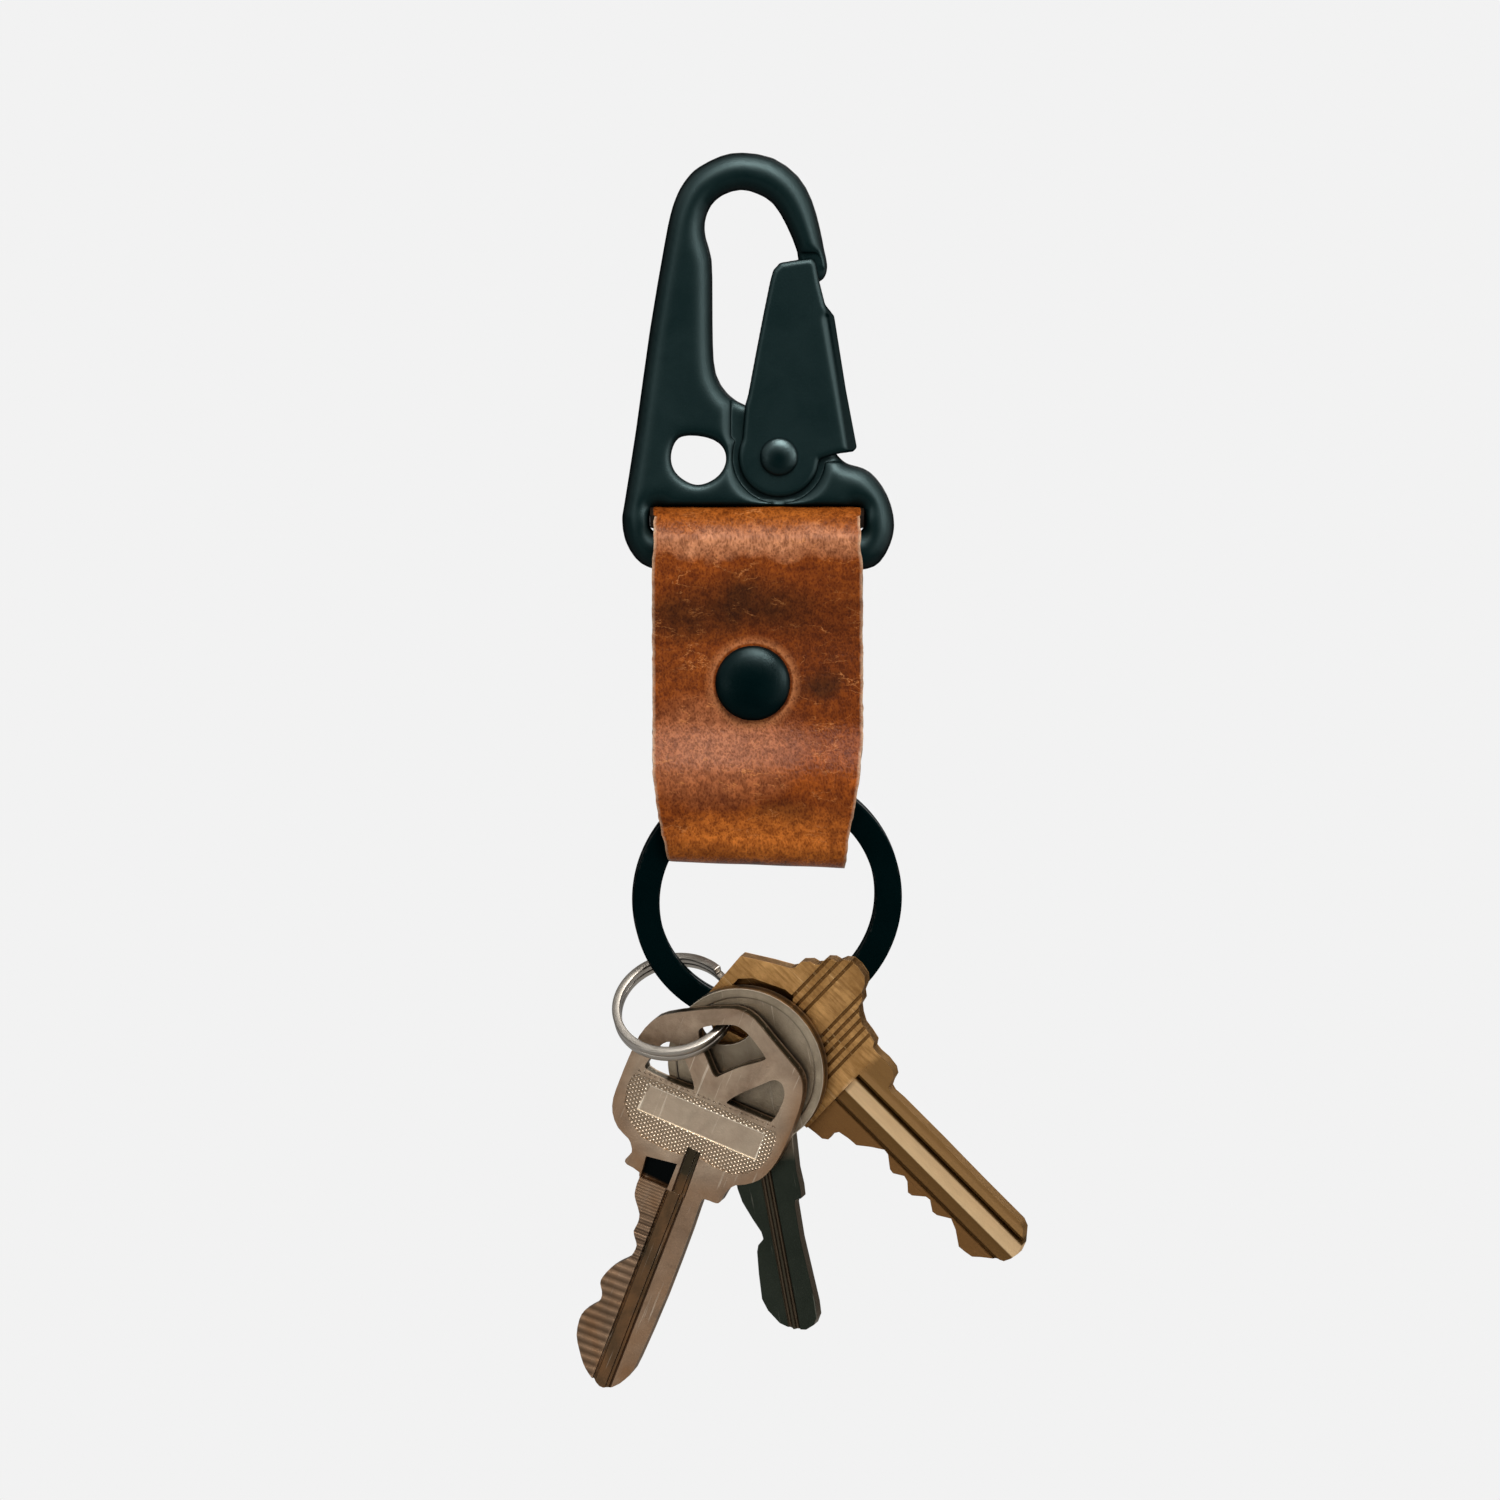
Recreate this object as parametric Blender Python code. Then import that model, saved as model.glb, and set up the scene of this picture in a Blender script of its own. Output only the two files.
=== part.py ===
"""Clip keychain: a cast snap clip, a riveted leather strap, two split rings and three keys.

The clip hangs from the inside top of its eye, which is the origin. +Z is up, the front faces -Y, metres.
"""

import math

import bmesh
import bpy
from mathutils import Matrix, Vector
from mathutils.geometry import interpolate_bezier

for old in list(bpy.data.objects):
    bpy.data.objects.remove(old, do_unlink=True)

# Clearances
FIT = 0.0001
PLAY = 0.00025
SLOT_PLAY = 0.00015
OVERRUN = 0.002
ROUND_STEPS = 48
HOLE_STEPS = 24
SHARP_ANGLE = math.radians(32)
FLAT_LIMIT = 0.9999
CURVE_STEPS = 2
CURVE_PULL = 1 / 6

# Clip body
CLIP_HEIGHT = 0.0505
BODY_HALF = 0.0023
EDGE_INSET = 0.0013
EDGE_DEPTH = 0.0019
EDGE_STEPS = 4
CUT_INSET = 0.0008
TONGUE_HALF = 0.0012
BODY_SHARES = (
    (0.002, 0.089), (-0.05, 0.081), (-0.1, 0.056), (-0.124, 0.036), (-0.145, 0.007), (-0.159, -0.023),
    (-0.171, -0.062), (-0.185, -0.133), (-0.219, -0.333), (-0.252, -0.57), (-0.28, -0.748), (-0.285, -0.784),
    (-0.278, -0.831),
    (-0.254, -0.874), (-0.219, -0.898), (-0.16, -0.905), (-0.06, -0.905), (0.036, -0.905), (0.13, -0.905),
    (0.23, -0.905), (0.295, -0.901), (0.328, -0.884), (0.352, -0.843), (0.362, -0.798), (0.354, -0.748),
    (0.333, -0.703), (0.304, -0.67), (0.276, -0.657), (0.25, -0.65), (0.228, -0.632), (0.209, -0.603),
    (0.173, -0.565), (0.126, -0.537), (0.067, -0.523), (0.01, -0.512), (-0.033, -0.485), (-0.062, -0.437),
    (-0.069, -0.366), (-0.07, -0.26), (-0.072, -0.165), (-0.086, -0.114), (-0.088, -0.076), (-0.074, -0.038),
    (-0.045, -0.012), (-0.002, 0.0), (0.038, -0.01), (0.074, -0.033), (0.105, -0.083), (0.131, -0.147),
    (0.135, -0.185), (0.148, -0.213), (0.173, -0.221), (0.195, -0.21), (0.203, -0.181), (0.195, -0.14),
    (0.185, -0.09), (0.166, -0.024), (0.133, 0.033), (0.074, 0.076),
)
LANYARD_SHARES = (
    (-0.147, -0.587), (-0.107, -0.584), (-0.067, -0.594), (-0.043, -0.615), (-0.038, -0.646), (-0.052, -0.675),
    (-0.078, -0.694), (-0.107, -0.701), (-0.135, -0.691), (-0.159, -0.67), (-0.169, -0.641), (-0.164, -0.61),
)

# Gate, its pin and its spring
PIVOT_SHARE = (0.0879, -0.6345)
PIVOT_X, PIVOT_Z = (share * CLIP_HEIGHT for share in PIVOT_SHARE)
SHEET = 0.0008
GATE_INNER = TONGUE_HALF + PLAY
GATE_HALF = GATE_INNER + SHEET
GATE_FOOT_SHARE = 0.097
GATE_FOOT_RADIUS = GATE_FOOT_SHARE * CLIP_HEIGHT
FOOT_CLEARANCE = 0.0007
RECESS_RADIUS = GATE_FOOT_RADIUS + FOOT_CLEARANCE
GATE_ROUND = 0.0006
PIN_RADIUS = 0.0014
PIN_HEAD_RADIUS = 0.0023
PIN_HEAD_RISE = 0.0008
GATE_TOP_SHARES = (
    (0.074, -0.19), (0.09, -0.173), (0.131, -0.166), (0.166, -0.162), (0.176, -0.173), (0.185, -0.221),
    (0.198, -0.272), (0.219, -0.299), (0.247, -0.475), (0.273, -0.612), (0.264, -0.622), (0.228, -0.627),
    (0.185, -0.64),
)
GATE_BACK_SHARES = ((0.007, -0.511), (0.014, -0.487), (0.033, -0.385), (0.05, -0.297), (0.067, -0.214))
WEB_TOP_SHARE = (0.217, -0.299)
WEB_FOOT_SHARE = (0.273, -0.618)
NOSE_STEP_SHARE = -0.150
SHOULDER_CUT_SHARES = (
    (-0.026, -0.451), (-0.026, -0.590), (0.088, -0.634), (0.2, -0.646), (0.28, -0.646), (0.28, -0.451),
)
NOSE_CUT_SHARES = (
    (0.055, -0.262), (0.212, -0.262), (0.203, -0.222), (0.188, -0.168), (0.180, NOSE_STEP_SHARE),
    (0.055, NOSE_STEP_SHARE),
)
SPRING_WIRE = 0.0003
SPRING_LOOP_SHARE = 0.0455
SPRING_LOOP = SPRING_LOOP_SHARE * CLIP_HEIGHT
SPRING_SLOT_HALF = 0.0006
SPRING_SLOT_SHARES = (
    (0.024, -0.63), (0.031, -0.546), (0.055, -0.47), (0.25, -0.47), (0.216, -0.594), (0.152, -0.646),
    (0.135, -0.69), (0.088, -0.708), (0.045, -0.69),
)
SPRING_BACK_LEG_SHARE = (0.038, -0.556)
SPRING_FRONT_LEG_SHARES = ((0.152, -0.57), (0.192, -0.43), (0.203, -0.385))

# Leather strap
LEATHER = 0.0018
LAP_GAP = 0.0001
LAP_MID = LEATHER + LAP_GAP
STRAP_MIDDLE_SHARE = 0.0356
STRAP_HALF_SHARE = 0.2515
STRAP_MIDDLE = STRAP_MIDDLE_SHARE * CLIP_HEIGHT
STRAP_HALF = STRAP_HALF_SHARE * CLIP_HEIGHT
BAR_SHARE = -0.859
BAR_Z = BAR_SHARE * CLIP_HEIGHT
FOLD_SHARE = 0.0851
FOLD_MID = FOLD_SHARE * CLIP_HEIGHT
SLOT_LEFT = STRAP_MIDDLE - STRAP_HALF - SLOT_PLAY
SLOT_RIGHT = STRAP_MIDDLE + STRAP_HALF + SLOT_PLAY
SLOT_TOP = BAR_Z + FOLD_MID + LEATHER / 2 + SLOT_PLAY
SLOT_BOTTOM = BAR_Z + BODY_HALF
SLOT_CORNER = 0.0009
FOLD_STEPS = 12
FOLD_TURN = (10, 170)

# Runs of the strap seen from the side: depth, and height above the bar
RIVET_RISE = -0.0158
LOOP_RISE = -0.0337
LOOP_DEPTH = 0.0012
LOOP_HALF = 0.0034
LAP_RUN = (
    (0.0, -0.0221), (0.0, -0.0188), (0.0, RIVET_RISE), (0.0002, -0.0114), (0.0016, -0.0071), (0.0034, -0.0034),
)
FRONT_RUN = (
    (-0.0041, -0.0028), (-0.0034, -0.0056), (-0.0024, -0.0084), (-LAP_MID, -0.0108), (-LAP_MID, -0.0136),
    (-LAP_MID, RIVET_RISE), (-LAP_MID, -0.0188), (-LAP_MID, -0.0210), (-0.0026, -0.0234), (-0.0038, -0.0261),
    (-0.0040, -0.0288), (-0.0031, -0.0316),
)
BACK_RUN = (
    (0.0040, -0.0304), (0.0030, -0.0266), (0.0022, -0.0231), (LAP_MID, -0.0201), (LAP_MID, RIVET_RISE),
    (LAP_MID, -0.0128), (LAP_MID, -0.0102),
)

# Sides of the strap: height above the bar, and how far out, as a share of half the strap's width
LEFT_SIDE_SHARES = (
    (0.0043, 0.935), (0.0032, 0.976), (-0.0002, 0.976), (-0.0014, 1.0), (-0.0250, 1.0), (-0.0310, 0.937),
    (-0.0340, 0.858), (-0.0358, 0.764), (-0.0380, 0.693),
)
RIGHT_SIDE_SHARES = (
    (0.0043, 0.935), (0.0032, 0.976), (-0.0002, 0.976), (-0.0014, 1.0), (-0.0250, 1.0), (-0.0298, 0.929),
    (-0.0356, 0.827), (-0.0380, 0.740),
)

# Double-cap rivet
CAP_RADIUS = 0.0045
CAP_RISE = 0.0017
CAP_WALL = 0.00035
CAP_RIM = 0.0004
BASE_RADIUS = CAP_RADIUS - CAP_WALL - FIT
BASE_WALL = 0.0003
RIVET_SHIFT = 0.0005
RIVET_X = STRAP_MIDDLE - RIVET_SHIFT
RIVET_Z = BAR_Z + RIVET_RISE
POST_RADIUS = 0.0011
STEM_RADIUS = 0.0016
RIVET_HOLE = STEM_RADIUS + FIT
LEATHER_FACE = LAP_MID + LEATHER / 2

# Flat split ring: size, and tilt and turn of its plane; its top stands up inside the strap's loop
RING_OUTER = 0.0162
RING_BAND = 0.0032
RING_LAYER = 0.00095
COIL_GAP = 0.00042
RING_TILT = math.tan(math.radians(18))
RING_TURN = 0.09
RING_SHIFT = 0.0012
RING_DEPTH = 0.0036
RING_TOP_RISE = 0.00834
RING_X = STRAP_MIDDLE + RING_SHIFT
RING_Z = BAR_Z + LOOP_RISE + RING_TOP_RISE - RING_OUTER
RING_CENTRE = (RING_X, RING_DEPTH, RING_Z)

# Small split ring: where it is threaded on the flat ring's band, and how its centre lies from there
KEY_RING_OUTER = 0.0075
KEY_RING_BAND = 0.001
KEY_RING_LAYER = 0.0007
KEY_RING_SLOPES = (-0.20, 0.76)
THREAD_ANGLE = math.radians(-131.5)
THREAD_RADIUS = RING_OUTER - RING_BAND / 2
THREAD_X = RING_X + THREAD_RADIUS * math.cos(THREAD_ANGLE)
THREAD_Z = RING_Z + THREAD_RADIUS * math.sin(THREAD_ANGLE)
THREAD_Y = RING_DEPTH + RING_TURN * (THREAD_X - RING_X) - RING_TILT * (THREAD_Z - RING_Z)
KEY_RING_HANG = (-0.00142, -0.00280, -0.00217)
KEY_RING_CENTRE = (THREAD_X + KEY_RING_HANG[0], THREAD_Y + KEY_RING_HANG[1], THREAD_Z + KEY_RING_HANG[2])

# Split coils: where the wire starts and steps up to its second layer, degrees
COIL_STEP = 6
COIL_START = 24
COIL_RISE = 342
COIL_RISE_END = 378
COIL_END = 696

# Keys: three parallel plates on the small ring, placed from its centre
KEY_SLOPES = (-0.36, -0.30)
KEY_THICK = 0.0018
KEY_SPACING = KEY_THICK + PLAY
STACK_X = 0.00714
STACK_Z = 0.0006
GROOVE_DEPTH = 0.0005

HOUSE_KEY_ANGLE = math.radians(-22.0)
HOUSE_KEY_BOW = (0.0040, -0.00996)
HOUSE_KEY_PIVOT = (0.0051, -0.00336)
ROUND_KEY_ANGLE = math.radians(10.5)
ROUND_KEY_BOW = (0.0088, -0.00706)
ROUND_KEY_PIVOT = (0.0065, -0.00126)
BRASS_KEY_ANGLE = math.radians(45.0)
BRASS_KEY_BOW = (0.0223, -0.01226)
BRASS_KEY_PIVOT = (0.0069, 0.00084)


def material(name, colour, roughness, metallic):
    """A plain Principled material."""
    made = bpy.data.materials.new(name)
    made.use_nodes = True
    shader = made.node_tree.nodes["Principled BSDF"]
    shader.inputs["Base Color"].default_value = (*colour, 1.0)
    shader.inputs["Roughness"].default_value = roughness
    shader.inputs["Metallic"].default_value = metallic
    return made


BLACK = material("black_coating", (0.012, 0.016, 0.017), 0.42, 0.35)
STEEL = material("spring_steel", (0.30, 0.30, 0.31), 0.35, 1.0)
LEATHER_BROWN = material("brown_leather", (0.30, 0.11, 0.035), 0.62, 0.0)
NICKEL = material("nickel", (0.55, 0.50, 0.46), 0.28, 1.0)
NICKEL_SILVER = material("nickel_silver", (0.40, 0.31, 0.25), 0.38, 1.0)
BRASS = material("brass", (0.46, 0.27, 0.10), 0.36, 1.0)


def add_object(name, mesh_source, look):
    """Put a bmesh into the scene as a named object, its front and back flat, its rounds smooth."""
    bmesh.ops.recalc_face_normals(mesh_source, faces=mesh_source.faces)
    mesh = bpy.data.meshes.new(name)
    mesh_source.to_mesh(mesh)
    mesh_source.free()
    mesh.materials.append(look)
    mesh.shade_smooth()
    mesh.set_sharp_from_angle(angle=SHARP_ANGLE)
    for face in mesh.polygons:
        face.use_smooth = abs(face.normal.y) < FLAT_LIMIT
    made = bpy.data.objects.new(name, mesh)
    bpy.context.scene.collection.objects.link(made)
    return made


def cut(target, cutter):
    """Take the cutter out of the target and hide the cutter."""
    cutter.hide_render = True
    cutter.display_type = "WIRE"
    step = target.modifiers.new("cut", "BOOLEAN")
    step.operation = "DIFFERENCE"
    step.solver = "EXACT"
    step.object = cutter


def clip_points(shares):
    """Clip-height shares as positions."""
    return [(x * CLIP_HEIGHT, z * CLIP_HEIGHT) for x, z in shares]


def smooth_run(points):
    """A smooth open curve through the points, both ends kept."""
    first, last = Vector(points[0]) * 2 - Vector(points[1]), Vector(points[-1]) * 2 - Vector(points[-2])
    held = [first, *(Vector(point) for point in points), last]
    out = []
    for before, start, end, after in zip(held, held[1:], held[2:], held[3:]):
        pull, push = start + (end - before) * CURVE_PULL, end - (after - start) * CURVE_PULL
        out += [tuple(point) for point in interpolate_bezier(start, pull, push, end, CURVE_STEPS + 1)[:-1]]
    out.append(tuple(points[-1]))
    return out


def smooth_loop(points):
    """A smooth closed curve through the points."""
    count = len(points)
    return smooth_run([*points[-2:], *points, *points[:2]])[2 * CURVE_STEPS:(2 + count) * CURVE_STEPS]


def arc(centre, radius, start, end, steps):
    """Points on an arc, angles in degrees from +X toward +Z, both ends included."""
    out = []
    for k in range(steps + 1):
        angle = math.radians(start + (end - start) * k / steps)
        out.append((centre[0] + radius * math.cos(angle), centre[1] + radius * math.sin(angle)))
    return out


def circle(centre, radius, steps):
    """A full circle of points."""
    return arc(centre, radius, 0, 360 - 360 / steps, steps - 1)


def inset(points, amount):
    """Move a closed outline inward along its corner normals; a negative amount moves it outward."""
    count = len(points)
    area = sum(points[i][0] * points[(i + 1) % count][1] - points[(i + 1) % count][0] * points[i][1]
               for i in range(count))
    side = 1 if area > 0 else -1
    out = []
    for i in range(count):
        here = Vector(points[i])
        back = (here - Vector(points[i - 1])).normalized()
        ahead = (Vector(points[(i + 1) % count]) - here).normalized()
        mean = (back + ahead).normalized()
        normal = Vector((-mean.y, mean.x)) * side
        out.append(tuple(here + normal * amount / max(mean.dot(ahead), 0.5)))
    return out


def stack(levels):
    """Skin a list of (y, outline) levels into one closed body."""
    made = bmesh.new()
    rings = [[made.verts.new((x, y, z)) for x, z in outline] for y, outline in levels]
    count = len(rings[0])
    made.faces.new(rings[0])
    made.faces.new(list(reversed(rings[-1])))
    for low, high in zip(rings, rings[1:]):
        for i in range(count):
            made.faces.new((low[i], high[i], high[(i + 1) % count], low[(i + 1) % count]))
    return made


def rounded_plate(name, outline, half, edge, depth, look):
    """A plate with both rims rounded over (edge > 0), or a cutter with both mouths flared (edge < 0)."""
    levels = []
    for k in range(EDGE_STEPS + 1):
        angle = math.radians(90) * k / EDGE_STEPS
        drawn = edge * (1 - math.sin(angle))
        levels.append((-half + depth * (1 - math.cos(angle)), inset(outline, drawn)))
    levels += [(-y, points) for y, points in reversed(levels)]
    if edge < 0:
        levels = [(-half - OVERRUN, levels[0][1]), *levels, (half + OVERRUN, levels[-1][1])]
    return add_object(name, stack(levels), look)


def plate(name, outline, front, back, look):
    """A straight-sided plate between two depths."""
    return add_object(name, stack([(front, outline), (back, outline)]), look)


def turned(name, profile, x, z, look):
    """A body of revolution about the Y direction through (x, z), from a closed (radius, y) profile."""
    made = bmesh.new()
    verts = [made.verts.new((radius, y, 0.0)) for radius, y in profile]
    edges = [made.edges.new((verts[i], verts[i + 1])) for i in range(len(verts) - 1)]
    if profile[0][0] > FIT:
        edges.append(made.edges.new((verts[-1], verts[0])))
    bmesh.ops.spin(made, geom=verts + edges, cent=(0, 0, 0), axis=(0, 1, 0), angle=math.tau,
                   steps=ROUND_STEPS, use_duplicate=False)
    bmesh.ops.remove_doubles(made, verts=made.verts, dist=FIT / 100)
    done = add_object(name, made, look)
    done.location = (x, 0.0, z)
    return done


def tube(name, points, radius, look):
    """A round wire along a run of points, its ends closed."""
    curve = bpy.data.curves.new(name, "CURVE")
    curve.dimensions = "3D"
    curve.bevel_depth = radius
    curve.bevel_resolution = 2
    curve.use_fill_caps = True
    run = curve.splines.new("POLY")
    run.points.add(len(points) - 1)
    for held, point in zip(run.points, points):
        held.co = (*point, 1.0)
    curve.materials.append(look)
    made = bpy.data.objects.new(name, curve)
    bpy.context.scene.collection.objects.link(made)
    return made


def plane_rotation(slopes, angle):
    """Turn a piece drawn in the XZ plane into the plane y = slopes[0] x + slopes[1] z.

    The angle swings its -Z direction toward +X, as seen from the front.
    """
    side, fall = math.sin(angle), math.cos(angle)
    down = Vector((side, slopes[0] * side - slopes[1] * fall, -fall))
    up = -down.normalized()
    away = Vector((-slopes[0], 1.0, -slopes[1])).normalized()
    across = away.cross(up)
    return Matrix((across, away, up)).transposed()


# Clip body
def make_body():
    body = rounded_plate("hook_body", smooth_loop(clip_points(BODY_SHARES)), BODY_HALF,
                         EDGE_INSET, EDGE_DEPTH, BLACK)
    cut(body, rounded_plate("lanyard_cutter", smooth_loop(clip_points(LANYARD_SHARES)), BODY_HALF,
                            -CUT_INSET, CUT_INSET, BLACK))
    corners = []
    for x, z, start in (
        (SLOT_RIGHT - SLOT_CORNER, SLOT_TOP - SLOT_CORNER, 0),
        (SLOT_LEFT + SLOT_CORNER, SLOT_TOP - SLOT_CORNER, 90),
        (SLOT_LEFT + SLOT_CORNER, SLOT_BOTTOM + SLOT_CORNER, 180),
        (SLOT_RIGHT - SLOT_CORNER, SLOT_BOTTOM + SLOT_CORNER, 270),
    ):
        corners += arc((x, z), SLOT_CORNER, start, start + 90, 4)
    cut(body, rounded_plate("slot_cutter", corners, BODY_HALF, -CUT_INSET, EDGE_DEPTH, BLACK))
    recess = circle((PIVOT_X, PIVOT_Z), RECESS_RADIUS, ROUND_STEPS)
    nose = clip_points(NOSE_CUT_SHARES)
    shoulder = clip_points(SHOULDER_CUT_SHARES)
    deep = BODY_HALF + OVERRUN
    for side in (-1, 1):
        face = "front" if side < 0 else "back"
        near, far = sorted((side * TONGUE_HALF, side * deep))
        cut(body, plate("recess_cutter_" + face, recess, near, far, BLACK))
        cut(body, plate("nose_cutter_" + face, nose, near, far, BLACK))
        cut(body, plate("shoulder_cutter_" + face, shoulder, near, far, BLACK))
    pin_hole = circle((PIVOT_X, PIVOT_Z), PIN_RADIUS + FIT, HOLE_STEPS)
    cut(body, plate("pin_hole_cutter", pin_hole, -deep, deep, BLACK))
    spring_slot = clip_points(SPRING_SLOT_SHARES)
    cut(body, plate("spring_slot_cutter", spring_slot, -SPRING_SLOT_HALF, SPRING_SLOT_HALF, BLACK))
    return body


# Gate: a folded sheet channel, open on its inner side
def make_gate():
    foot = arc((PIVOT_X, PIVOT_Z), GATE_FOOT_RADIUS, -20, -205, 20)
    outline = clip_points(GATE_TOP_SHARES) + foot + clip_points(GATE_BACK_SHARES)
    gate = rounded_plate("gate", outline, GATE_HALF, GATE_ROUND, GATE_ROUND, BLACK)
    top, low = Vector(clip_points([WEB_TOP_SHARE])[0]), Vector(clip_points([WEB_FOOT_SHARE])[0])
    along = (low - top).normalized()
    inward = Vector((along.y, -along.x))
    inner_top, inner_low = top + inward * SHEET, low + inward * SHEET
    reach = OVERRUN + CLIP_HEIGHT / 10
    inside = [
        (inner_top.x, inner_top.y), (inner_low.x, inner_low.y), (inner_low.x + reach, inner_low.y),
        (inner_low.x + reach, inner_low.y - CLIP_HEIGHT / 4), (-CLIP_HEIGHT / 4, inner_low.y - CLIP_HEIGHT / 4),
        (-CLIP_HEIGHT / 4, reach), (inner_low.x + reach, reach), (inner_low.x + reach, inner_top.y),
    ]
    cut(gate, plate("gate_inside_cutter", inside, -GATE_INNER, GATE_INNER, BLACK))
    cut(gate, plate("gate_pin_cutter", circle((PIVOT_X, PIVOT_Z), PIN_RADIUS + FIT, HOLE_STEPS),
                    -GATE_HALF - OVERRUN, GATE_HALF + OVERRUN, BLACK))
    return gate


def make_gate_rivet():
    seat = GATE_HALF + FIT
    dome = []
    for k in range(7):
        angle = math.radians(90) * k / 6
        dome.append((PIN_HEAD_RADIUS * math.cos(angle), seat + PIN_HEAD_RISE * math.sin(angle)))
    front = [(0.0 if k == 6 else radius, -y) for k, (radius, y) in enumerate(dome)]
    back = [(0.0 if k == 6 else radius, y) for k, (radius, y) in enumerate(dome)]
    profile = list(reversed(front)) + [(PIN_RADIUS, -seat), (PIN_RADIUS, seat)] + back
    return turned("gate_rivet", profile, PIVOT_X, PIVOT_Z, BLACK)


def make_gate_spring():
    loop = arc((PIVOT_X, PIVOT_Z), SPRING_LOOP, 180, 360, 14)
    run = clip_points([SPRING_BACK_LEG_SHARE]) + loop + clip_points(SPRING_FRONT_LEG_SHARES)
    return tube("gate_spring", [(x, 0.0, z) for x, z in run], SPRING_WIRE, STEEL)


# Leather strap: one strip swept along its run, seen from the side
def strap_run():
    over = arc((0.0, 0.0), FOLD_MID, *FOLD_TURN, FOLD_STEPS)
    under = [(LOOP_DEPTH - y, LOOP_RISE - rise)
             for y, rise in arc((0.0, 0.0), LOOP_HALF, *FOLD_TURN, FOLD_STEPS)]
    return smooth_run([*LAP_RUN, *over, *FRONT_RUN, *under, *BACK_RUN])


def side_at(shares, rise):
    """How far out the strip's side is at a height above the bar."""
    share = shares[-1][1]
    if rise >= shares[0][0]:
        share = shares[0][1]
    for (high, start), (low, end) in zip(shares, shares[1:]):
        if low <= rise < high:
            share = start + (end - start) * (high - rise) / (high - low)
    return share * STRAP_HALF


def make_strap():
    run = strap_run()
    made = bmesh.new()
    rings = []
    for i, (y, rise) in enumerate(run):
        before, after = Vector(run[max(i - 1, 0)]), Vector(run[min(i + 1, len(run) - 1)])
        along = (after - before).normalized()
        out = Vector((along.y, -along.x)) * LEATHER / 2
        left = STRAP_MIDDLE - side_at(LEFT_SIDE_SHARES, rise)
        right = STRAP_MIDDLE + side_at(RIGHT_SIDE_SHARES, rise)
        z = BAR_Z + rise
        rings.append([made.verts.new(place) for place in (
            (left, y + out.x, z + out.y), (right, y + out.x, z + out.y),
            (right, y - out.x, z - out.y), (left, y - out.x, z - out.y),
        )])
    made.faces.new(rings[0])
    made.faces.new(list(reversed(rings[-1])))
    for low, high in zip(rings, rings[1:]):
        for i in range(4):
            made.faces.new((low[i], high[i], high[(i + 1) % 4], low[(i + 1) % 4]))
    strap = add_object("leather_strap", made, LEATHER_BROWN)
    cut(strap, plate("rivet_hole_cutter", circle((RIVET_X, RIVET_Z), RIVET_HOLE, HOLE_STEPS),
                     -LEATHER_FACE - OVERRUN, LEATHER_FACE + OVERRUN, LEATHER_BROWN))
    return strap


# Double-cap rivet: two shells clenched over their bases, a stem and a post
def cap_profile(side):
    """Profile of a domed shell whose rim stands on the leather."""
    seat = LEATHER_FACE + FIT
    outer, inner = [], []
    for k in range(9):
        angle = math.radians(90) * k / 8
        rise = math.sin(angle)
        outer.append((CAP_RADIUS * math.cos(angle), seat + CAP_RIM + (CAP_RISE - CAP_RIM) * rise))
        inner.append(((CAP_RADIUS - CAP_WALL) * math.cos(angle),
                      seat + CAP_RIM + (CAP_RISE - CAP_RIM - CAP_WALL) * rise))
    outer[-1], inner[-1] = (0.0, outer[-1][1]), (0.0, inner[-1][1])
    profile = list(reversed(outer)) + [(CAP_RADIUS, seat), (CAP_RADIUS - CAP_WALL, seat)] + inner
    return [(radius, side * y) for radius, y in profile]


def make_rivet():
    seat = LEATHER_FACE + FIT
    turned("rivet_front_shell", cap_profile(-1), RIVET_X, RIVET_Z, BLACK)
    turned("rivet_back_shell", cap_profile(1), RIVET_X, RIVET_Z, BLACK)
    stem_in = POST_RADIUS + FIT
    turned("rivet_front_base", [
        (stem_in, -seat - BASE_WALL), (BASE_RADIUS, -seat - BASE_WALL), (BASE_RADIUS, -seat),
        (STEM_RADIUS, -seat), (STEM_RADIUS, seat - FIT), (stem_in, seat - FIT),
    ], RIVET_X, RIVET_Z, BLACK)
    turned("rivet_post", [
        (0.0, -seat), (POST_RADIUS, -seat), (POST_RADIUS, seat), (BASE_RADIUS, seat),
        (BASE_RADIUS, seat + BASE_WALL), (0.0, seat + BASE_WALL),
    ], RIVET_X, RIVET_Z, BLACK)


# Split rings: two flat layers in one band, with one step from the first layer to the second
def split_ring(name, centre, slopes, outer, band, layer, roll, look):
    pitch = layer + COIL_GAP
    made = bmesh.new()
    rings = []
    angle = COIL_START
    while angle <= COIL_END:
        climb = min(max((angle - COIL_RISE) / (COIL_RISE_END - COIL_RISE), 0.0), 1.0)
        y = -math.cos(math.pi * climb) * pitch / 2
        turn = math.radians(angle)
        rings.append([made.verts.new((r * math.cos(turn), y + s * layer / 2, r * math.sin(turn)))
                      for r, s in ((outer, -1), (outer, 1), (outer - band, 1), (outer - band, -1))])
        angle += COIL_STEP
    made.faces.new(rings[0])
    made.faces.new(list(reversed(rings[-1])))
    for low, high in zip(rings, rings[1:]):
        for i in range(4):
            made.faces.new((low[i], high[i], high[(i + 1) % 4], low[(i + 1) % 4]))
    print(name, "least gap between its layers, mm:", round(COIL_GAP * 1000, 3))
    ring = add_object(name, made, look)
    ring.location = centre
    ring.rotation_euler = plane_rotation(slopes, roll).to_euler()
    return ring


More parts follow.
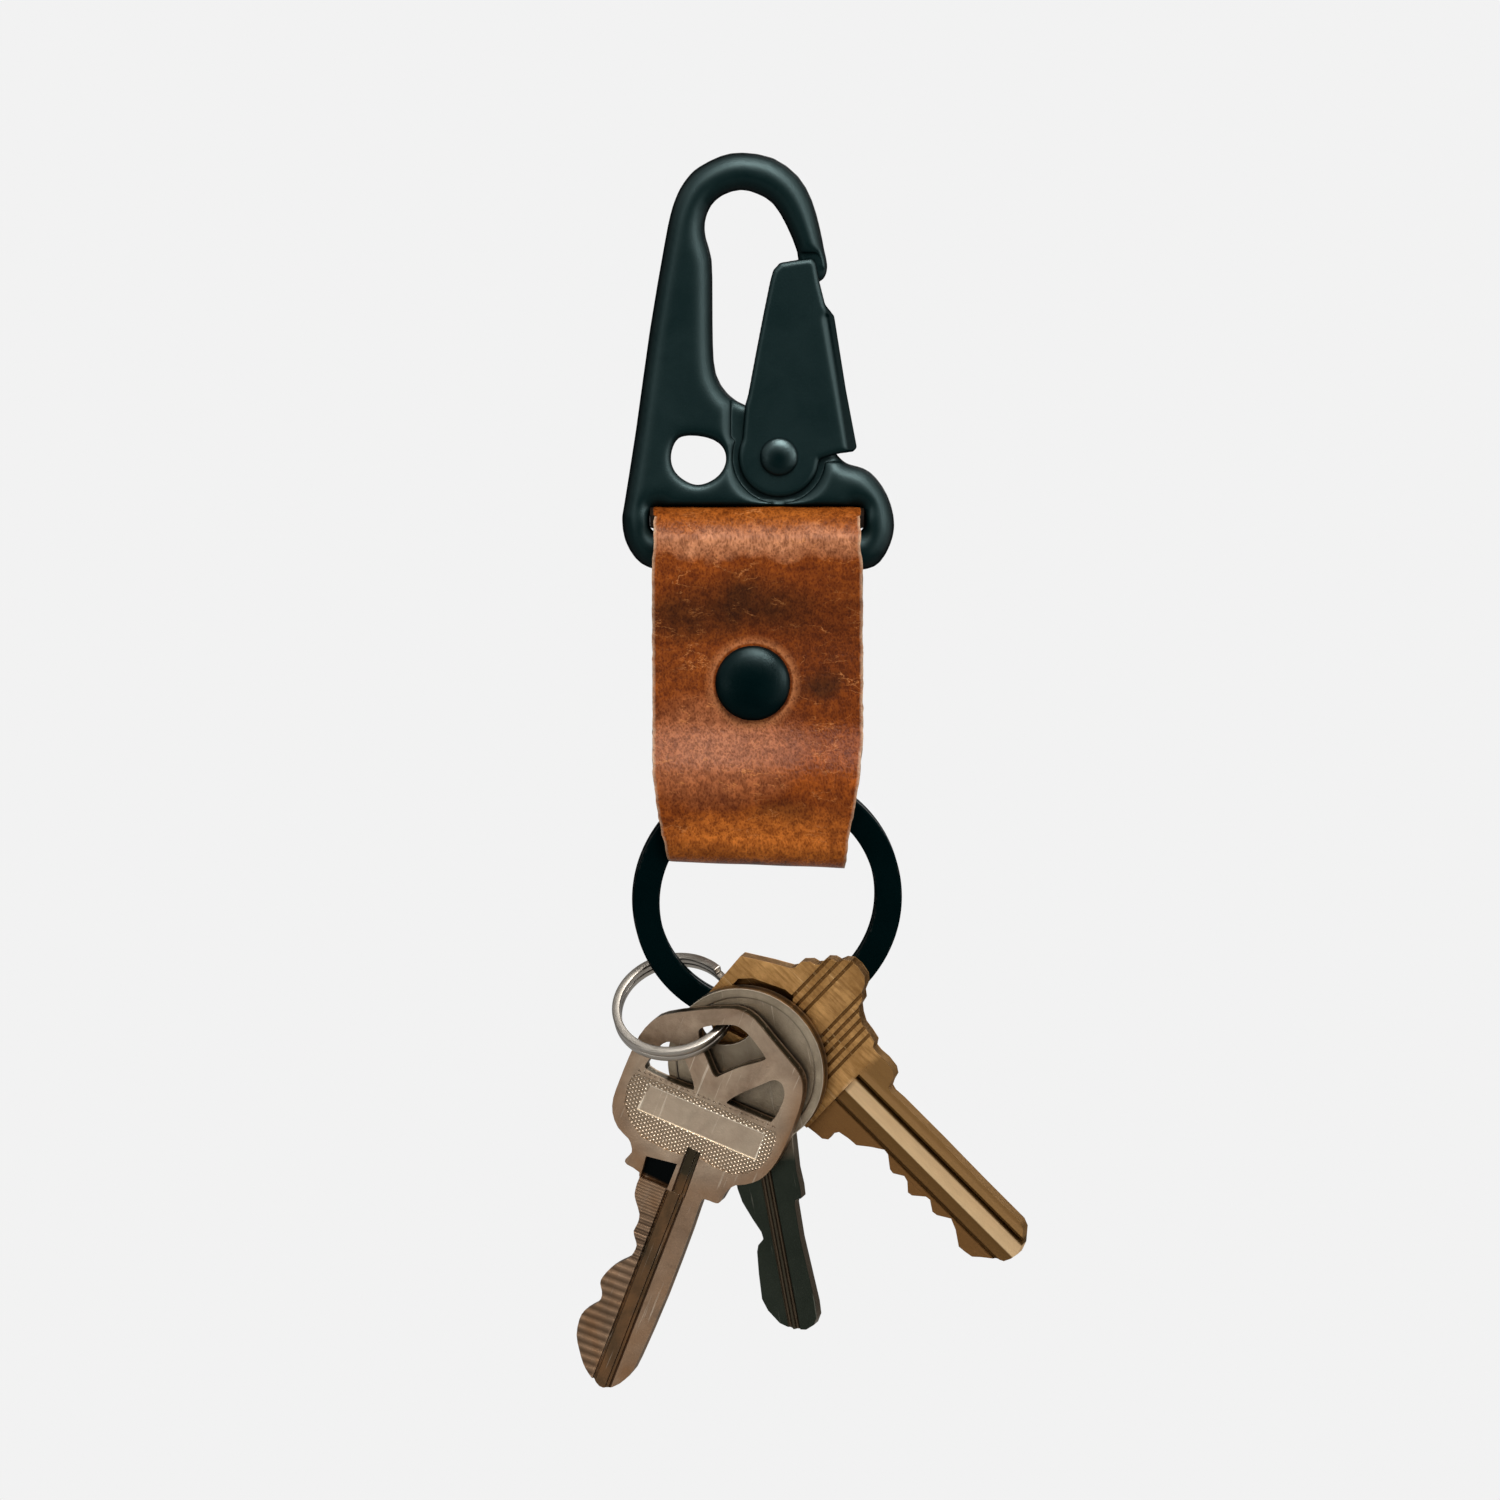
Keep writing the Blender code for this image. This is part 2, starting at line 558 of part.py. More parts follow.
# Keys
def key_origin(place, layer):
    """A point of a key's middle plane, layer 0 being the brass key at the back."""
    slope_x, slope_z = KEY_SLOPES
    x, y, z = KEY_RING_CENTRE
    depth = KEY_RING_SLOPES[0] * STACK_X + KEY_RING_SLOPES[1] * STACK_Z
    depth += slope_x * (place[0] - STACK_X) + slope_z * (place[1] - STACK_Z)
    depth -= KEY_SPACING * layer * Vector((slope_x, 1, slope_z)).length
    return Vector((x + place[0], y + depth, z + place[1]))


def place_key(name, outline, openings, angle, bow, pivot, layer, look):
    """A key plate drawn round its bow centre, hung so that its origin is where the wire goes through."""
    turn = plane_rotation(KEY_SLOPES, angle)
    origin, bow_centre = key_origin(pivot, layer), key_origin(bow, layer)
    shift = turn.transposed() @ (bow_centre - origin)
    moved = [(x + shift.x, z + shift.z) for x, z in outline]
    key = plate(name, moved, -KEY_THICK / 2, KEY_THICK / 2, look)
    cutters = []
    for k, (points, front, back) in enumerate(openings):
        hole = [(x + shift.x, z + shift.z) for x, z in points]
        cutters.append(plate(f"{name}_cutter_{k}", hole, front, back, look))
        cut(key, cutters[-1])
    for piece in [key, *cutters]:
        piece.location = origin
        piece.rotation_euler = turn.to_euler()
    return key


def sized(shares, size):
    return [(x * size, z * size) for x, z in shares]


THROUGH = (-KEY_THICK, KEY_THICK)

# House key: shares of its length
HOUSE_KEY_LENGTH = 0.0534
HOUSE_BOW_SHARES = (
    (-0.097, -0.214), (-0.144, -0.192), (-0.180, -0.146), (-0.196, -0.088), (-0.197, 0.010), (-0.190, 0.070),
    (-0.176, 0.115), (-0.100, 0.172), (-0.040, 0.215), (0.012, 0.229), (0.062, 0.208), (0.130, 0.160),
    (0.190, 0.108), (0.206, 0.070), (0.212, -0.020), (0.208, -0.092), (0.190, -0.150), (0.150, -0.192),
    (0.118, -0.212), (0.110, -0.244), (0.078, -0.246),
)
HOUSE_BLADE_SHARES = (
    (0.074, -0.262), (0.076, -0.704), (0.062, -0.748), (0.036, -0.767), (0.008, -0.765), (-0.030, -0.726),
    (-0.069, -0.670), (-0.071, -0.627), (-0.051, -0.591), (-0.046, -0.562), (-0.062, -0.540), (-0.052, -0.500),
    (-0.022, -0.456), (-0.022, -0.424), (-0.042, -0.398), (-0.040, -0.345), (-0.070, -0.296), (-0.072, -0.252),
    (-0.112, -0.244), (-0.114, -0.220),
)
HOUSE_WINDOW_SHARES = (
    ((-0.095, 0.118), (-0.040, 0.168), (0.014, 0.186), (0.052, 0.164), (0.084, 0.130), (0.060, 0.070),
     (0.010, 0.042), (-0.070, 0.056)),
    ((-0.124, 0.098), (-0.158, 0.066), (-0.160, -0.006), (-0.060, 0.020), (-0.090, 0.050)),
    ((0.112, 0.118), (0.160, 0.076), (0.166, 0.000), (0.056, 0.022), (0.088, 0.062)),
)
HOUSE_GROOVE_SHARES = ((-0.026, -0.10), (0.014, -0.10), (0.014, -0.85), (-0.026, -0.85))


def make_house_key():
    outline = sized(HOUSE_BLADE_SHARES + HOUSE_BOW_SHARES, HOUSE_KEY_LENGTH)
    openings = [(smooth_loop(sized(window, HOUSE_KEY_LENGTH)), *THROUGH) for window in HOUSE_WINDOW_SHARES]
    groove = sized(HOUSE_GROOVE_SHARES, HOUSE_KEY_LENGTH)
    openings.append((groove, -KEY_THICK, -KEY_THICK / 2 + GROOVE_DEPTH))
    return place_key("house_key", outline, openings, HOUSE_KEY_ANGLE, HOUSE_KEY_BOW, HOUSE_KEY_PIVOT, 2,
                     NICKEL_SILVER)


# Round key: shares of its bow radius
ROUND_BOW = 0.0099
ROUND_RIM = 0.0011
ROUND_NECK_SHARES = (
    (0.36, -1.60), (0.36, -1.70), (0.255, -1.72), (0.255, -2.96), (0.245, -3.20), (0.10, -3.34), (-0.12, -3.31),
    (-0.20, -3.15), (-0.31, -2.84), (-0.31, -2.30), (-0.24, -2.16), (-0.29, -1.94), (-0.44, -1.71),
    (-0.46, -1.50),
)
ROUND_HOLE_SHARES = (
    (-0.46, 0.66), (-0.26, 0.76), (0.0, 0.79), (0.16, 0.74), (0.20, 0.60), (0.14, 0.42), (-0.02, 0.32),
    (-0.22, 0.30), (-0.40, 0.36), (-0.50, 0.50),
)
ROUND_GROOVE_SHARES = ((-0.06, -1.3), (0.10, -1.3), (0.10, -3.6), (-0.06, -3.6))


def make_round_key():
    bow = arc((0.0, 0.0), ROUND_BOW, -68, 244, 44)
    outline = bow + list(reversed(sized(ROUND_NECK_SHARES, ROUND_BOW)))
    face = circle((0.0, 0.0), ROUND_BOW - ROUND_RIM, ROUND_STEPS)
    deep = KEY_THICK / 2 - GROOVE_DEPTH / 2
    groove = sized(ROUND_GROOVE_SHARES, ROUND_BOW)
    openings = [
        (smooth_loop(sized(ROUND_HOLE_SHARES, ROUND_BOW)), *THROUGH), (face, -KEY_THICK, -deep),
        (face, deep, KEY_THICK), (groove, -KEY_THICK, -KEY_THICK / 2 + GROOVE_DEPTH),
    ]
    return place_key("round_key", outline, openings, ROUND_KEY_ANGLE, ROUND_KEY_BOW, ROUND_KEY_PIVOT, 1, NICKEL)


# Brass key: shares of its length, drawn from between its shoulders
BRASS_KEY_LENGTH = 0.0478
BRASS_HALF_SHARES = ((0.082, 0.472), (0.152, 0.350), (0.192, 0.345), (0.205, 0.322), (0.230, 0.312),
                     (0.242, 0.285), (0.254, 0.266), (0.250, 0.205), (0.220, 0.180), (0.180, 0.168),
                     (0.160, 0.138), (0.150, 0.090), (0.134, 0.066), (0.131, 0.005), (0.122, -0.012))
BRASS_BLADE_SHARES = (
    (0.090, -0.022), (0.084, -0.052), (0.084, -0.450), (0.070, -0.486), (0.032, -0.512), (0.0, -0.524),
    (-0.030, -0.512), (-0.040, -0.488), (-0.064, -0.444), (-0.066, -0.402), (-0.034, -0.345), (-0.058, -0.302),
    (-0.032, -0.270), (-0.064, -0.228), (-0.036, -0.192), (-0.054, -0.158), (-0.022, -0.112), (-0.076, -0.052),
    (-0.088, -0.022), (-0.124, -0.012),
)
BRASS_OPENING_SHARES = ((0.046, 0.446), (-0.024, 0.452), (-0.078, 0.448), (-0.104, 0.396), (-0.084, 0.335),
                        (0.0, 0.300), (0.080, 0.296), (0.112, 0.310), (0.108, 0.340), (0.066, 0.425))
BRASS_GROOVE_SHARES = ((0.008, 0.09), (0.044, 0.09), (0.044, -0.56), (0.008, -0.56))


def make_brass_key():
    right = sized(BRASS_HALF_SHARES, BRASS_KEY_LENGTH)
    left = [(-x, z) for x, z in reversed(right[:-1])]
    outline = right + sized(BRASS_BLADE_SHARES, BRASS_KEY_LENGTH) + left
    openings = [(smooth_loop(sized(BRASS_OPENING_SHARES, BRASS_KEY_LENGTH)), *THROUGH)]
    groove = sized(BRASS_GROOVE_SHARES, BRASS_KEY_LENGTH)
    openings.append((groove, -KEY_THICK, -KEY_THICK / 2 + GROOVE_DEPTH))
    return place_key("brass_key", outline, openings, BRASS_KEY_ANGLE, BRASS_KEY_BOW, BRASS_KEY_PIVOT, 0, BRASS)


make_body()
make_gate()
make_gate_rivet()
make_gate_spring()
make_strap()
make_rivet()
split_ring("flat_ring", RING_CENTRE, (RING_TURN, -RING_TILT), RING_OUTER, RING_BAND, RING_LAYER,
           math.radians(-90), BLACK)
split_ring("small_ring", KEY_RING_CENTRE, KEY_RING_SLOPES, KEY_RING_OUTER, KEY_RING_BAND, KEY_RING_LAYER,
           math.radians(20), NICKEL)
make_house_key()
make_round_key()
make_brass_key()
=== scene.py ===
import math

import bmesh
import bpy
from mathutils import Matrix, Vector, kdtree, noise


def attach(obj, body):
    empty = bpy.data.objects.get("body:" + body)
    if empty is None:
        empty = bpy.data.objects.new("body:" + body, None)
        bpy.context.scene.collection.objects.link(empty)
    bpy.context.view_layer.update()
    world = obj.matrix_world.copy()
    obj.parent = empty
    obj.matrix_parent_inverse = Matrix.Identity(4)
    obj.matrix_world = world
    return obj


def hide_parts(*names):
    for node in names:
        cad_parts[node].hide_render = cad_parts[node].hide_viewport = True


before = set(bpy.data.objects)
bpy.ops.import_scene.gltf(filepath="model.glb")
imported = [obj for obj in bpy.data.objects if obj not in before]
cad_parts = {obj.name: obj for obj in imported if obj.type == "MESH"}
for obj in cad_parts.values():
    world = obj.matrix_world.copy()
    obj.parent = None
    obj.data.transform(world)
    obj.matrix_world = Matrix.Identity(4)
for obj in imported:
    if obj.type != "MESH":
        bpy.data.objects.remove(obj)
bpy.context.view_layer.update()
scene = bpy.context.scene


# ---- Hook body -------------------------------------------------------------
# A flat zinc casting, blasted and powder coated matt black, with a slot for the strap,
# a lanyard hole and a thin tongue that the gate closes round.
def put(tree, kind, inputs=(), **settings):
    """Add a shader node, its settings made and its inputs set or linked."""
    node = tree.nodes.new(kind)
    for name, value in settings.items():
        setattr(node, name, value)
    for name, value in dict(inputs).items():
        if isinstance(value, bpy.types.NodeSocket):
            tree.links.new(value, node.inputs[name])
        else:
            node.inputs[name].default_value = value
    return node


def maths(tree, operation, first, second=0.0, third=0.0, clamp=False):
    """One step of arithmetic; only MULTIPLY_ADD takes a third value."""
    values = {0: first, 1: second}
    if operation == "MULTIPLY_ADD":
        values[2] = third
    return put(tree, "ShaderNodeMath", values, operation=operation, use_clamp=clamp).outputs[0]


def times(tree, first, second, clamp=False):
    return maths(tree, "MULTIPLY", first, second, clamp=clamp)


def scaled(tree, value, by, plus, clamp=False):
    """A value times one number, plus another."""
    return maths(tree, "MULTIPLY_ADD", value, by, plus, clamp)


def spread(tree, value, start, end, first=0.0, last=1.0, curve="LINEAR"):
    """Turn a value that runs from start to end into one that runs from first to last."""
    return put(tree, "ShaderNodeMapRange", {"Value": value, "From Min": start, "From Max": end,
                                            "To Min": first, "To Max": last}, interpolation_type=curve).outputs[0]


def mixed(tree, share, under, over, blend="MIX"):
    under, over = (c if isinstance(c, bpy.types.NodeSocket) else (*c, 1.0) for c in (under, over))
    return put(tree, "ShaderNodeMix", {0: share, 6: under, 7: over}, data_type="RGBA", blend_type=blend).outputs[2]


def ramp(tree, value, *stops):
    """A colour ramp through (place, grey or colour) stops."""
    node = put(tree, "ShaderNodeValToRGB", {"Fac": value})
    held = node.color_ramp.elements
    while len(held) < len(stops):
        held.new(1.0)
    for element, (place, colour) in zip(held, stops):
        element.position = place
        element.color = (*colour, 1.0) if isinstance(colour, tuple) else (colour, colour, colour, 1.0)
    return node.outputs["Color"]


def cloud(tree, vector, scale, detail=4.0, roughness=0.55, distortion=0.0):
    return put(tree, "ShaderNodeTexNoise", {"Vector": vector, "Scale": scale, "Detail": detail,
                                            "Roughness": roughness, "Distortion": distortion}).outputs["Fac"]


def turned_vector(tree, vector, turn=(0, 0, 0), scale=(1, 1, 1), shift=(0, 0, 0)):
    return put(tree, "ShaderNodeMapping", {"Vector": vector, "Rotation": turn, "Scale": scale,
                                           "Location": shift}).outputs["Vector"]


def attribute(tree, name, socket="Vector"):
    return put(tree, "ShaderNodeAttribute", attribute_name=name).outputs[socket]


def new_group(name, inputs, outputs):
    """An empty node group with named inputs and outputs."""
    tree = bpy.data.node_groups.new(name, "ShaderNodeTree")
    for label, kind, start in inputs:
        socket = tree.interface.new_socket(name=label, in_out="INPUT", socket_type=kind)
        if start is not None:
            socket.default_value = start
    for label, kind in outputs:
        tree.interface.new_socket(name=label, in_out="OUTPUT", socket_type=kind)
    return tree, put(tree, "NodeGroupInput"), put(tree, "NodeGroupOutput")


def handling_wear():
    """Fine scratches, soft smudges and a grain height, as pocket carry leaves on metal."""
    tree, given, made = new_group(
        "handling_wear",
        [("Vector", "NodeSocketVector", None), ("Scratch Scale", "NodeSocketFloat", 1200.0),
         ("Smudge Scale", "NodeSocketFloat", 220.0), ("Grain Scale", "NodeSocketFloat", 4200.0)],
        [("Scratches", "NodeSocketFloat"), ("Smudges", "NodeSocketFloat"), ("Height", "NodeSocketFloat")])
    here = given.outputs["Vector"]
    scratch = given.outputs["Scratch Scale"]
    first = cloud(tree, turned_vector(tree, here, (0.0, 0.5, 0.0), (1.0, 1.0, 0.05)), scratch)
    second = cloud(tree, turned_vector(tree, here, (0.0, -0.9, 0.0), (1.0, 1.0, 0.04)), scratch)
    lines = maths(tree, "MAXIMUM", ramp(tree, first, (0.64, 0.0), (0.70, 1.0)),
                  ramp(tree, second, (0.66, 0.0), (0.72, 1.0)))
    smudges = ramp(tree, cloud(tree, here, given.outputs["Smudge Scale"], 6.0, 0.62, 0.6), (0.32, 0.0), (0.68, 1.0))
    grain = cloud(tree, here, given.outputs["Grain Scale"], 3.0, 0.6)
    tree.links.new(lines, made.inputs["Scratches"])
    tree.links.new(smudges, made.inputs["Smudges"])
    tree.links.new(scaled(tree, lines, -0.5, grain), made.inputs["Height"])
    return tree


WEAR = handling_wear()


def placed_wear(tree, vector, **scales):
    """The wear group in a material, its scales given."""
    node = put(tree, "ShaderNodeGroup", node_tree=WEAR)
    tree.links.new(vector, node.inputs["Vector"])
    for name, value in scales.items():
        node.inputs[name.replace("_", " ")].default_value = value
    return node.outputs


def new_finish(name, metallic, specular=0.5):
    finish = bpy.data.materials.new(name)
    finish.use_nodes = True
    tree = finish.node_tree
    shader = tree.nodes["Principled BSDF"]
    shader.inputs["Metallic"].default_value = metallic
    shader.inputs["Specular IOR Level"].default_value = specular
    return finish, tree, shader


def surface(tree, shader, colour, rough, height=None, distance=0.0, strength=1.0):
    """Link a shader's colour and roughness, and its normal where a height is given."""
    tree.links.new(colour, shader.inputs["Base Color"])
    tree.links.new(rough, shader.inputs["Roughness"])
    if height is not None:
        bump = put(tree, "ShaderNodeBump", {"Height": height, "Distance": distance, "Strength": strength})
        tree.links.new(bump.outputs["Normal"], shader.inputs["Normal"])


def powder_coat(name, low, high, bare, roughness, sheen):
    """Matt black coat: fine orange peel, faint smudges, dull undersides, bare metal where edges rub, and painted
    shade toward edges turned from view and on the gate's web beyond its fold.
    """
    finish, tree, shader = new_finish(name, 0.0, 0.5 * sheen[1])
    place = put(tree, "ShaderNodeTexCoord")
    here = place.outputs["Object"]
    fold_shade = attribute(tree, "fold_shade", "Fac")
    wear = placed_wear(tree, here, Scratch_Scale=1500.0, Smudge_Scale=150.0, Grain_Scale=5200.0)
    away = put(tree, "ShaderNodeLayerWeight", {"Blend": 0.5}).outputs["Facing"]
    coat = mixed(tree, wear["Smudges"], low, high)
    # Painted shade: the coat darkens as its surface turns away from view.
    coat = mixed(tree, ramp(tree, away, (0.15, 0.0), (0.70, 1.0)), coat, (0.0003, 0.0022, 0.0025))
    # Painted shade on the gate's web beyond its fold, which also dulls its gloss.
    coat = mixed(tree, times(tree, fold_shade, 0.75), coat, (0.0004, 0.0022, 0.0024))
    speck = cloud(tree, here, 2600.0, 5.0, 0.7)
    rub = times(tree, attribute(tree, "edge", "Fac"),
                ramp(tree, cloud(tree, here, 420.0, 5.0, 0.7), (0.50, 0.0), (0.74, 1.0)))
    worn = times(tree, rub, scaled(tree, speck, 1.2, -0.5), clamp=True)
    gloss = ramp(tree, away, (0.0, sheen[0]), (0.05, sheen[1]), (0.28, sheen[1]), (0.60, 0.02))
    faced = put(tree, "ShaderNodeSeparateXYZ", {0: place.outputs["Normal"]}).outputs
    upward = spread(tree, scaled(tree, faced["X"], 0.34, faced["Z"]), -0.24, 0.14, first=0.12, curve="SMOOTHSTEP")
    dull = scaled(tree, fold_shade, -0.85, upward, clamp=True)
    tree.links.new(times(tree, gloss, dull), shader.inputs["Specular IOR Level"])
    shader.inputs["Specular Tint"].default_value = (0.72, 1.0, 1.0, 1.0)
    surface(tree, shader, mixed(tree, worn, coat, bare), scaled(tree, wear["Smudges"], 0.10, roughness),
            wear["Height"], 0.00003, strength=0.8)
    return finish


def merged_copy(node, round_off=0.0):
    """A copy of a CAD node with its loose triangles joined and its sharp edges rounded off."""
    made = bmesh.new()
    made.from_mesh(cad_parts[node].data)
    bmesh.ops.remove_doubles(made, verts=made.verts, dist=2e-6)
    bmesh.ops.dissolve_limit(made, angle_limit=math.radians(0.6), verts=made.verts, edges=made.edges)
    if round_off:
        edge_rounds(made, round_off, 50)
    return made


def edge_rounds(made, width, sharp, rounds=2):
    """Round the edges sharper than an angle and mark the middle of each round in the edge attribute."""
    layer = made.verts.layers.float.get("edge") or made.verts.layers.float.new("edge")
    rims = [e for e in made.edges if len(e.link_faces) == 2 and e.calc_face_angle() > math.radians(sharp)]
    done = bmesh.ops.bevel(made, geom=rims, offset=width, offset_type="OFFSET", segments=rounds, profile=0.5,
                           affect="EDGES", clamp_overlap=True, material=-1)
    fresh = set(done["faces"])
    for vert in done["verts"]:
        if vert.is_valid and all(face in fresh for face in vert.link_faces):
            vert[layer] = 1.0


def piece(name, made, finishes, body, nodes, smooth):
    """Turn a bmesh into a piece that rides on a body and stands for its CAD nodes, shaded smooth up to an angle."""
    mesh = bpy.data.meshes.new(name)
    made.to_mesh(mesh)
    made.free()
    for finish in finishes:
        mesh.materials.append(finish)
    mesh.shade_smooth()
    mesh.set_sharp_from_angle(angle=math.radians(smooth))
    shown = bpy.data.objects.new(name, mesh)
    scene.collection.objects.link(shown)
    shown.modifiers.new("even_shading", "WEIGHTED_NORMAL").keep_sharp = True
    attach(shown, body)
    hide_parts(*nodes)


# Half the thickness of the hook's thin tongue.
TONGUE = 0.0012


def rounded_section(node, grain, half, reach, least, holes, passes, fold=None):
    """A CAD node remade in small even faces, thinned in a round toward its outline, its steps and its fold.

    Half is half its thickness, reach how far in the round begins, and least the share left at the outline."""
    holder = bpy.data.objects.new("rounded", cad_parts[node].data.copy())
    scene.collection.objects.link(holder)
    remade = holder.modifiers.new("even_faces", "REMESH")
    remade.mode, remade.voxel_size = "VOXEL", grain
    made = bmesh.new()
    made.from_object(holder, bpy.context.evaluated_depsgraph_get())
    bpy.data.objects.remove(holder, do_unlink=True)

    def nearest(points):
        tree = kdtree.KDTree(len(points) + 1)
        for index, (x, z) in enumerate([*points, (9.0, 9.0)]):
            tree.insert((x, 0.0, z), index)
        tree.balance()
        return tree

    middle = [(v.co.x, v.co.z) for v in made.verts if abs(v.co.y) < grain]
    walls = nearest(middle)
    rim = nearest([(px, pz) for px, pz in middle if not any(
        (px - x) ** 2 / across ** 2 + (pz - z) ** 2 / along ** 2 < 1 for x, z, across, along in holes)])
    steps = nearest([(v.co.x, v.co.z) for v in made.verts if not fold
                     and TONGUE + 0.0002 < abs(v.co.y) < half - 0.0004
                     and walls.find((v.co.x, 0.0, v.co.z))[2] > 0.0006])
    fold_shade = made.verts.layers.float.new("fold_shade")
    for vert in made.verts:
        here = (vert.co.x, 0.0, vert.co.z)
        inward = min(1.0, rim.find(here)[2] / reach)
        most = half * (least + (1 - least) * math.sqrt(1 - (1 - inward) ** 2))
        beside = min(1.0, steps.find(here)[2] / 0.0011)
        if abs(vert.co.y) > TONGUE:
            most = min(most, TONGUE + (half - TONGUE) * math.sqrt(1 - (1 - beside) ** 2))
        if fold:
            top, low = map(Vector, fold)
            beyond = (low - top).normalized().cross(Vector((here[0], here[2])) - top)
            most = min(most, half - 0.6 * max(0.0, beyond))
            # The web strip beyond the fold is marked for painted shade.
            vert[fold_shade] = min(1.0, max(0.0, beyond / 0.0003))
        vert.co.y = max(-most, min(most, vert.co.y))
    for k in range(passes):
        bmesh.ops.smooth_vert(made, verts=made.verts, factor=0.5, use_axis_x=k < 4, use_axis_y=True, use_axis_z=k < 4)
    return made


BARE_METAL = (0.30, 0.26, 0.23)
COAT = powder_coat("clip_coat", (0.0014, 0.0074, 0.0077), (0.0036, 0.0108, 0.0110), BARE_METAL, roughness=0.44,
                   sheen=(0.17, 0.72))
# Outlines in these ovals, (x, z, half across, half along), keep their thickness: lanyard hole, slot and pin.
HOOK_HOLES = ((-0.00525, -0.0325, 0.0046, 0.0040), (0.0018, -0.0396, 0.0150, 0.0024),
              (0.00444, -0.0320, 0.0066, 0.0058))
cast = rounded_section("hook_body", grain=0.00020, half=0.0023, reach=0.0021, least=0.0, holes=HOOK_HOLES, passes=30)
piece("cast_hook", cast, [COAT], "clip", ["hook_body"], smooth=180)


# ---- Gate ------------------------------------------------------------------
# Steel sheet folded to a channel, coated like the hook. It turns on a domed pin, and a
# bright wire spring inside it pushes it shut against the nose.
PIN_HOLE = (0.00444, -0.0320, 0.0022, 0.0022)
GATE_FOLD = ((0.0096, -0.0132), (0.01236, -0.0306))
folded = rounded_section("gate", grain=0.00014, half=0.00225, reach=0.0009, least=0.70, holes=[PIN_HOLE], passes=12,
                         fold=GATE_FOLD)
piece("folded_gate", folded, [COAT], "gate", ["gate"], smooth=180)
PIN_COAT = powder_coat("pin_coat", (0.0006, 0.0044, 0.0048), (0.0016, 0.0066, 0.0070), BARE_METAL, roughness=0.30,
                       sheen=(0.05, 1.0))
piece("domed_gate_pin", merged_copy("gate_rivet", 0.0001), [PIN_COAT], "clip", ["gate_rivet"],
      smooth=32)


def spring_wire():
    """Drawn spring steel with faint lengthwise lines."""
    finish, tree, shader = new_finish("spring_wire", 1.0)
    here = put(tree, "ShaderNodeTexCoord").outputs["Object"]
    wear = placed_wear(tree, here, Scratch_Scale=2500.0)
    surface(tree, shader, mixed(tree, wear["Smudges"], (0.30, 0.30, 0.31), (0.55, 0.54, 0.53)),
            scaled(tree, wear["Smudges"], 0.15, 0.25), wear["Height"], 0.00002)
    return finish


# The spring's upper leg leans in toward the spine, to stay inside the gate when that opens.
PIVOT = Vector((0.00444, 0.0, -0.03204))
COIL_EDGE = 0.0024
BEND_LENGTH = 0.005
LEG_TURN = -14.5
wire = merged_copy("gate_spring")
for vert in wire.verts:
    out = vert.co - PIVOT
    if out.x > 0 and out.z > 0:
        bend = min(1.0, max(0.0, (math.hypot(out.x, out.z) - COIL_EDGE) / BEND_LENGTH))
        vert.co = PIVOT + Matrix.Rotation(math.radians(LEG_TURN * bend * bend * (3 - 2 * bend)), 3, "Y") @ out
piece("wire_spring", wire, [spring_wire()], "clip", ["gate_spring"], smooth=60)


# ---- Leather strap ---------------------------------------------------------
# One strip of thick pull-up leather, folded over the hook's bar, lapped three deep under
# the rivet, and looped round the flat ring. Its edges are cut raw. Sizes are in millimetres,
# and the runs are (y, z) points on a layer's middle line.
MM = 0.001
LEATHER = 1.8
BAR_Z = -43.38
FOLD_MID = 4.55
LAP_MID = 1.9
LOOP_CENTRE = (1.2, -77.1)
LOOP_HALF = 3.4
RIVET_X, RIVET_Z = 1.3, -59.2
LAP_RUN = ((0.0, -65.5), (0.0, -62.2), (0.0, RIVET_Z), (0.2, -54.8), (1.6, -50.5), (3.4, -46.8))
FRONT_RUN = (
    (-4.1, -46.2), (-3.4, -49.0), (-2.4, -51.8), (-LAP_MID, -54.2), (-LAP_MID, -57.0), (-LAP_MID, RIVET_Z),
    (-LAP_MID, -62.2), (-LAP_MID, -64.4), (-2.6, -66.8), (-3.8, -69.5), (-4.0, -72.2), (-3.1, -75.0),
)
BACK_RUN = (
    (4.0, -73.8), (3.0, -70.0), (2.2, -66.5), (LAP_MID, -63.5), (LAP_MID, RIVET_Z), (LAP_MID, -56.2),
    (LAP_MID, -53.6),
)
# The strip's sides as (z, x) points, and where it fills the slot as (z, left x, right x).
LEFT_TOP = ((-39.1, -10.1), (-40.2, -10.6), (-43.6, -10.6), (-44.8, -10.8), (-70.5, -10.7))
LEFT_SIDE = (*LEFT_TOP, (-74.4, -10.2), (-77.4, -9.7), (-80.0, -9.0), (-81.0, -8.6), (-81.4, -8.1))
LEFT_REAR = (*LEFT_TOP, (-74.4, -10.1), (-77.4, -9.0), (-79.2, -7.9), (-81.4, -7.1))
RIGHT_SIDE = ((-39.1, 13.7), (-40.2, 14.2), (-43.6, 14.2), (-44.8, 14.5), (-66.0, 14.5), (-70.3, 14.1), (-72.8, 13.8),
              (-76.9, 12.9), (-79.8, 12.5), (-80.9, 12.1), (-81.4, 11.4))
SLOT_SIDES = ((-38.1, -10.6, 14.2), (-39.0, -11.0, 14.6), (-41.4, -11.0, 14.6))


def curve_point(before, start, end, after, t):
    """The point a share t of the way from start to end on a Catmull-Rom curve."""
    return (start * 2 + (end - before) * t + (before * 2 - start * 5 + end * 4 - after) * t ** 2
            + (start * 3 - before - end * 3 + after) * t ** 3) / 2


def curve_through(points, steps):
    """Points on an open curve through the given ones."""
    held = [*map(Vector, points)]
    held = [held[0] * 2 - held[1], *held, held[-1] * 2 - held[-2]]
    out = []
    for near in zip(held, held[1:], held[2:], held[3:]):
        out += [curve_point(*near, k / steps) for k in range(steps)]
    return [*out, held[-2]]


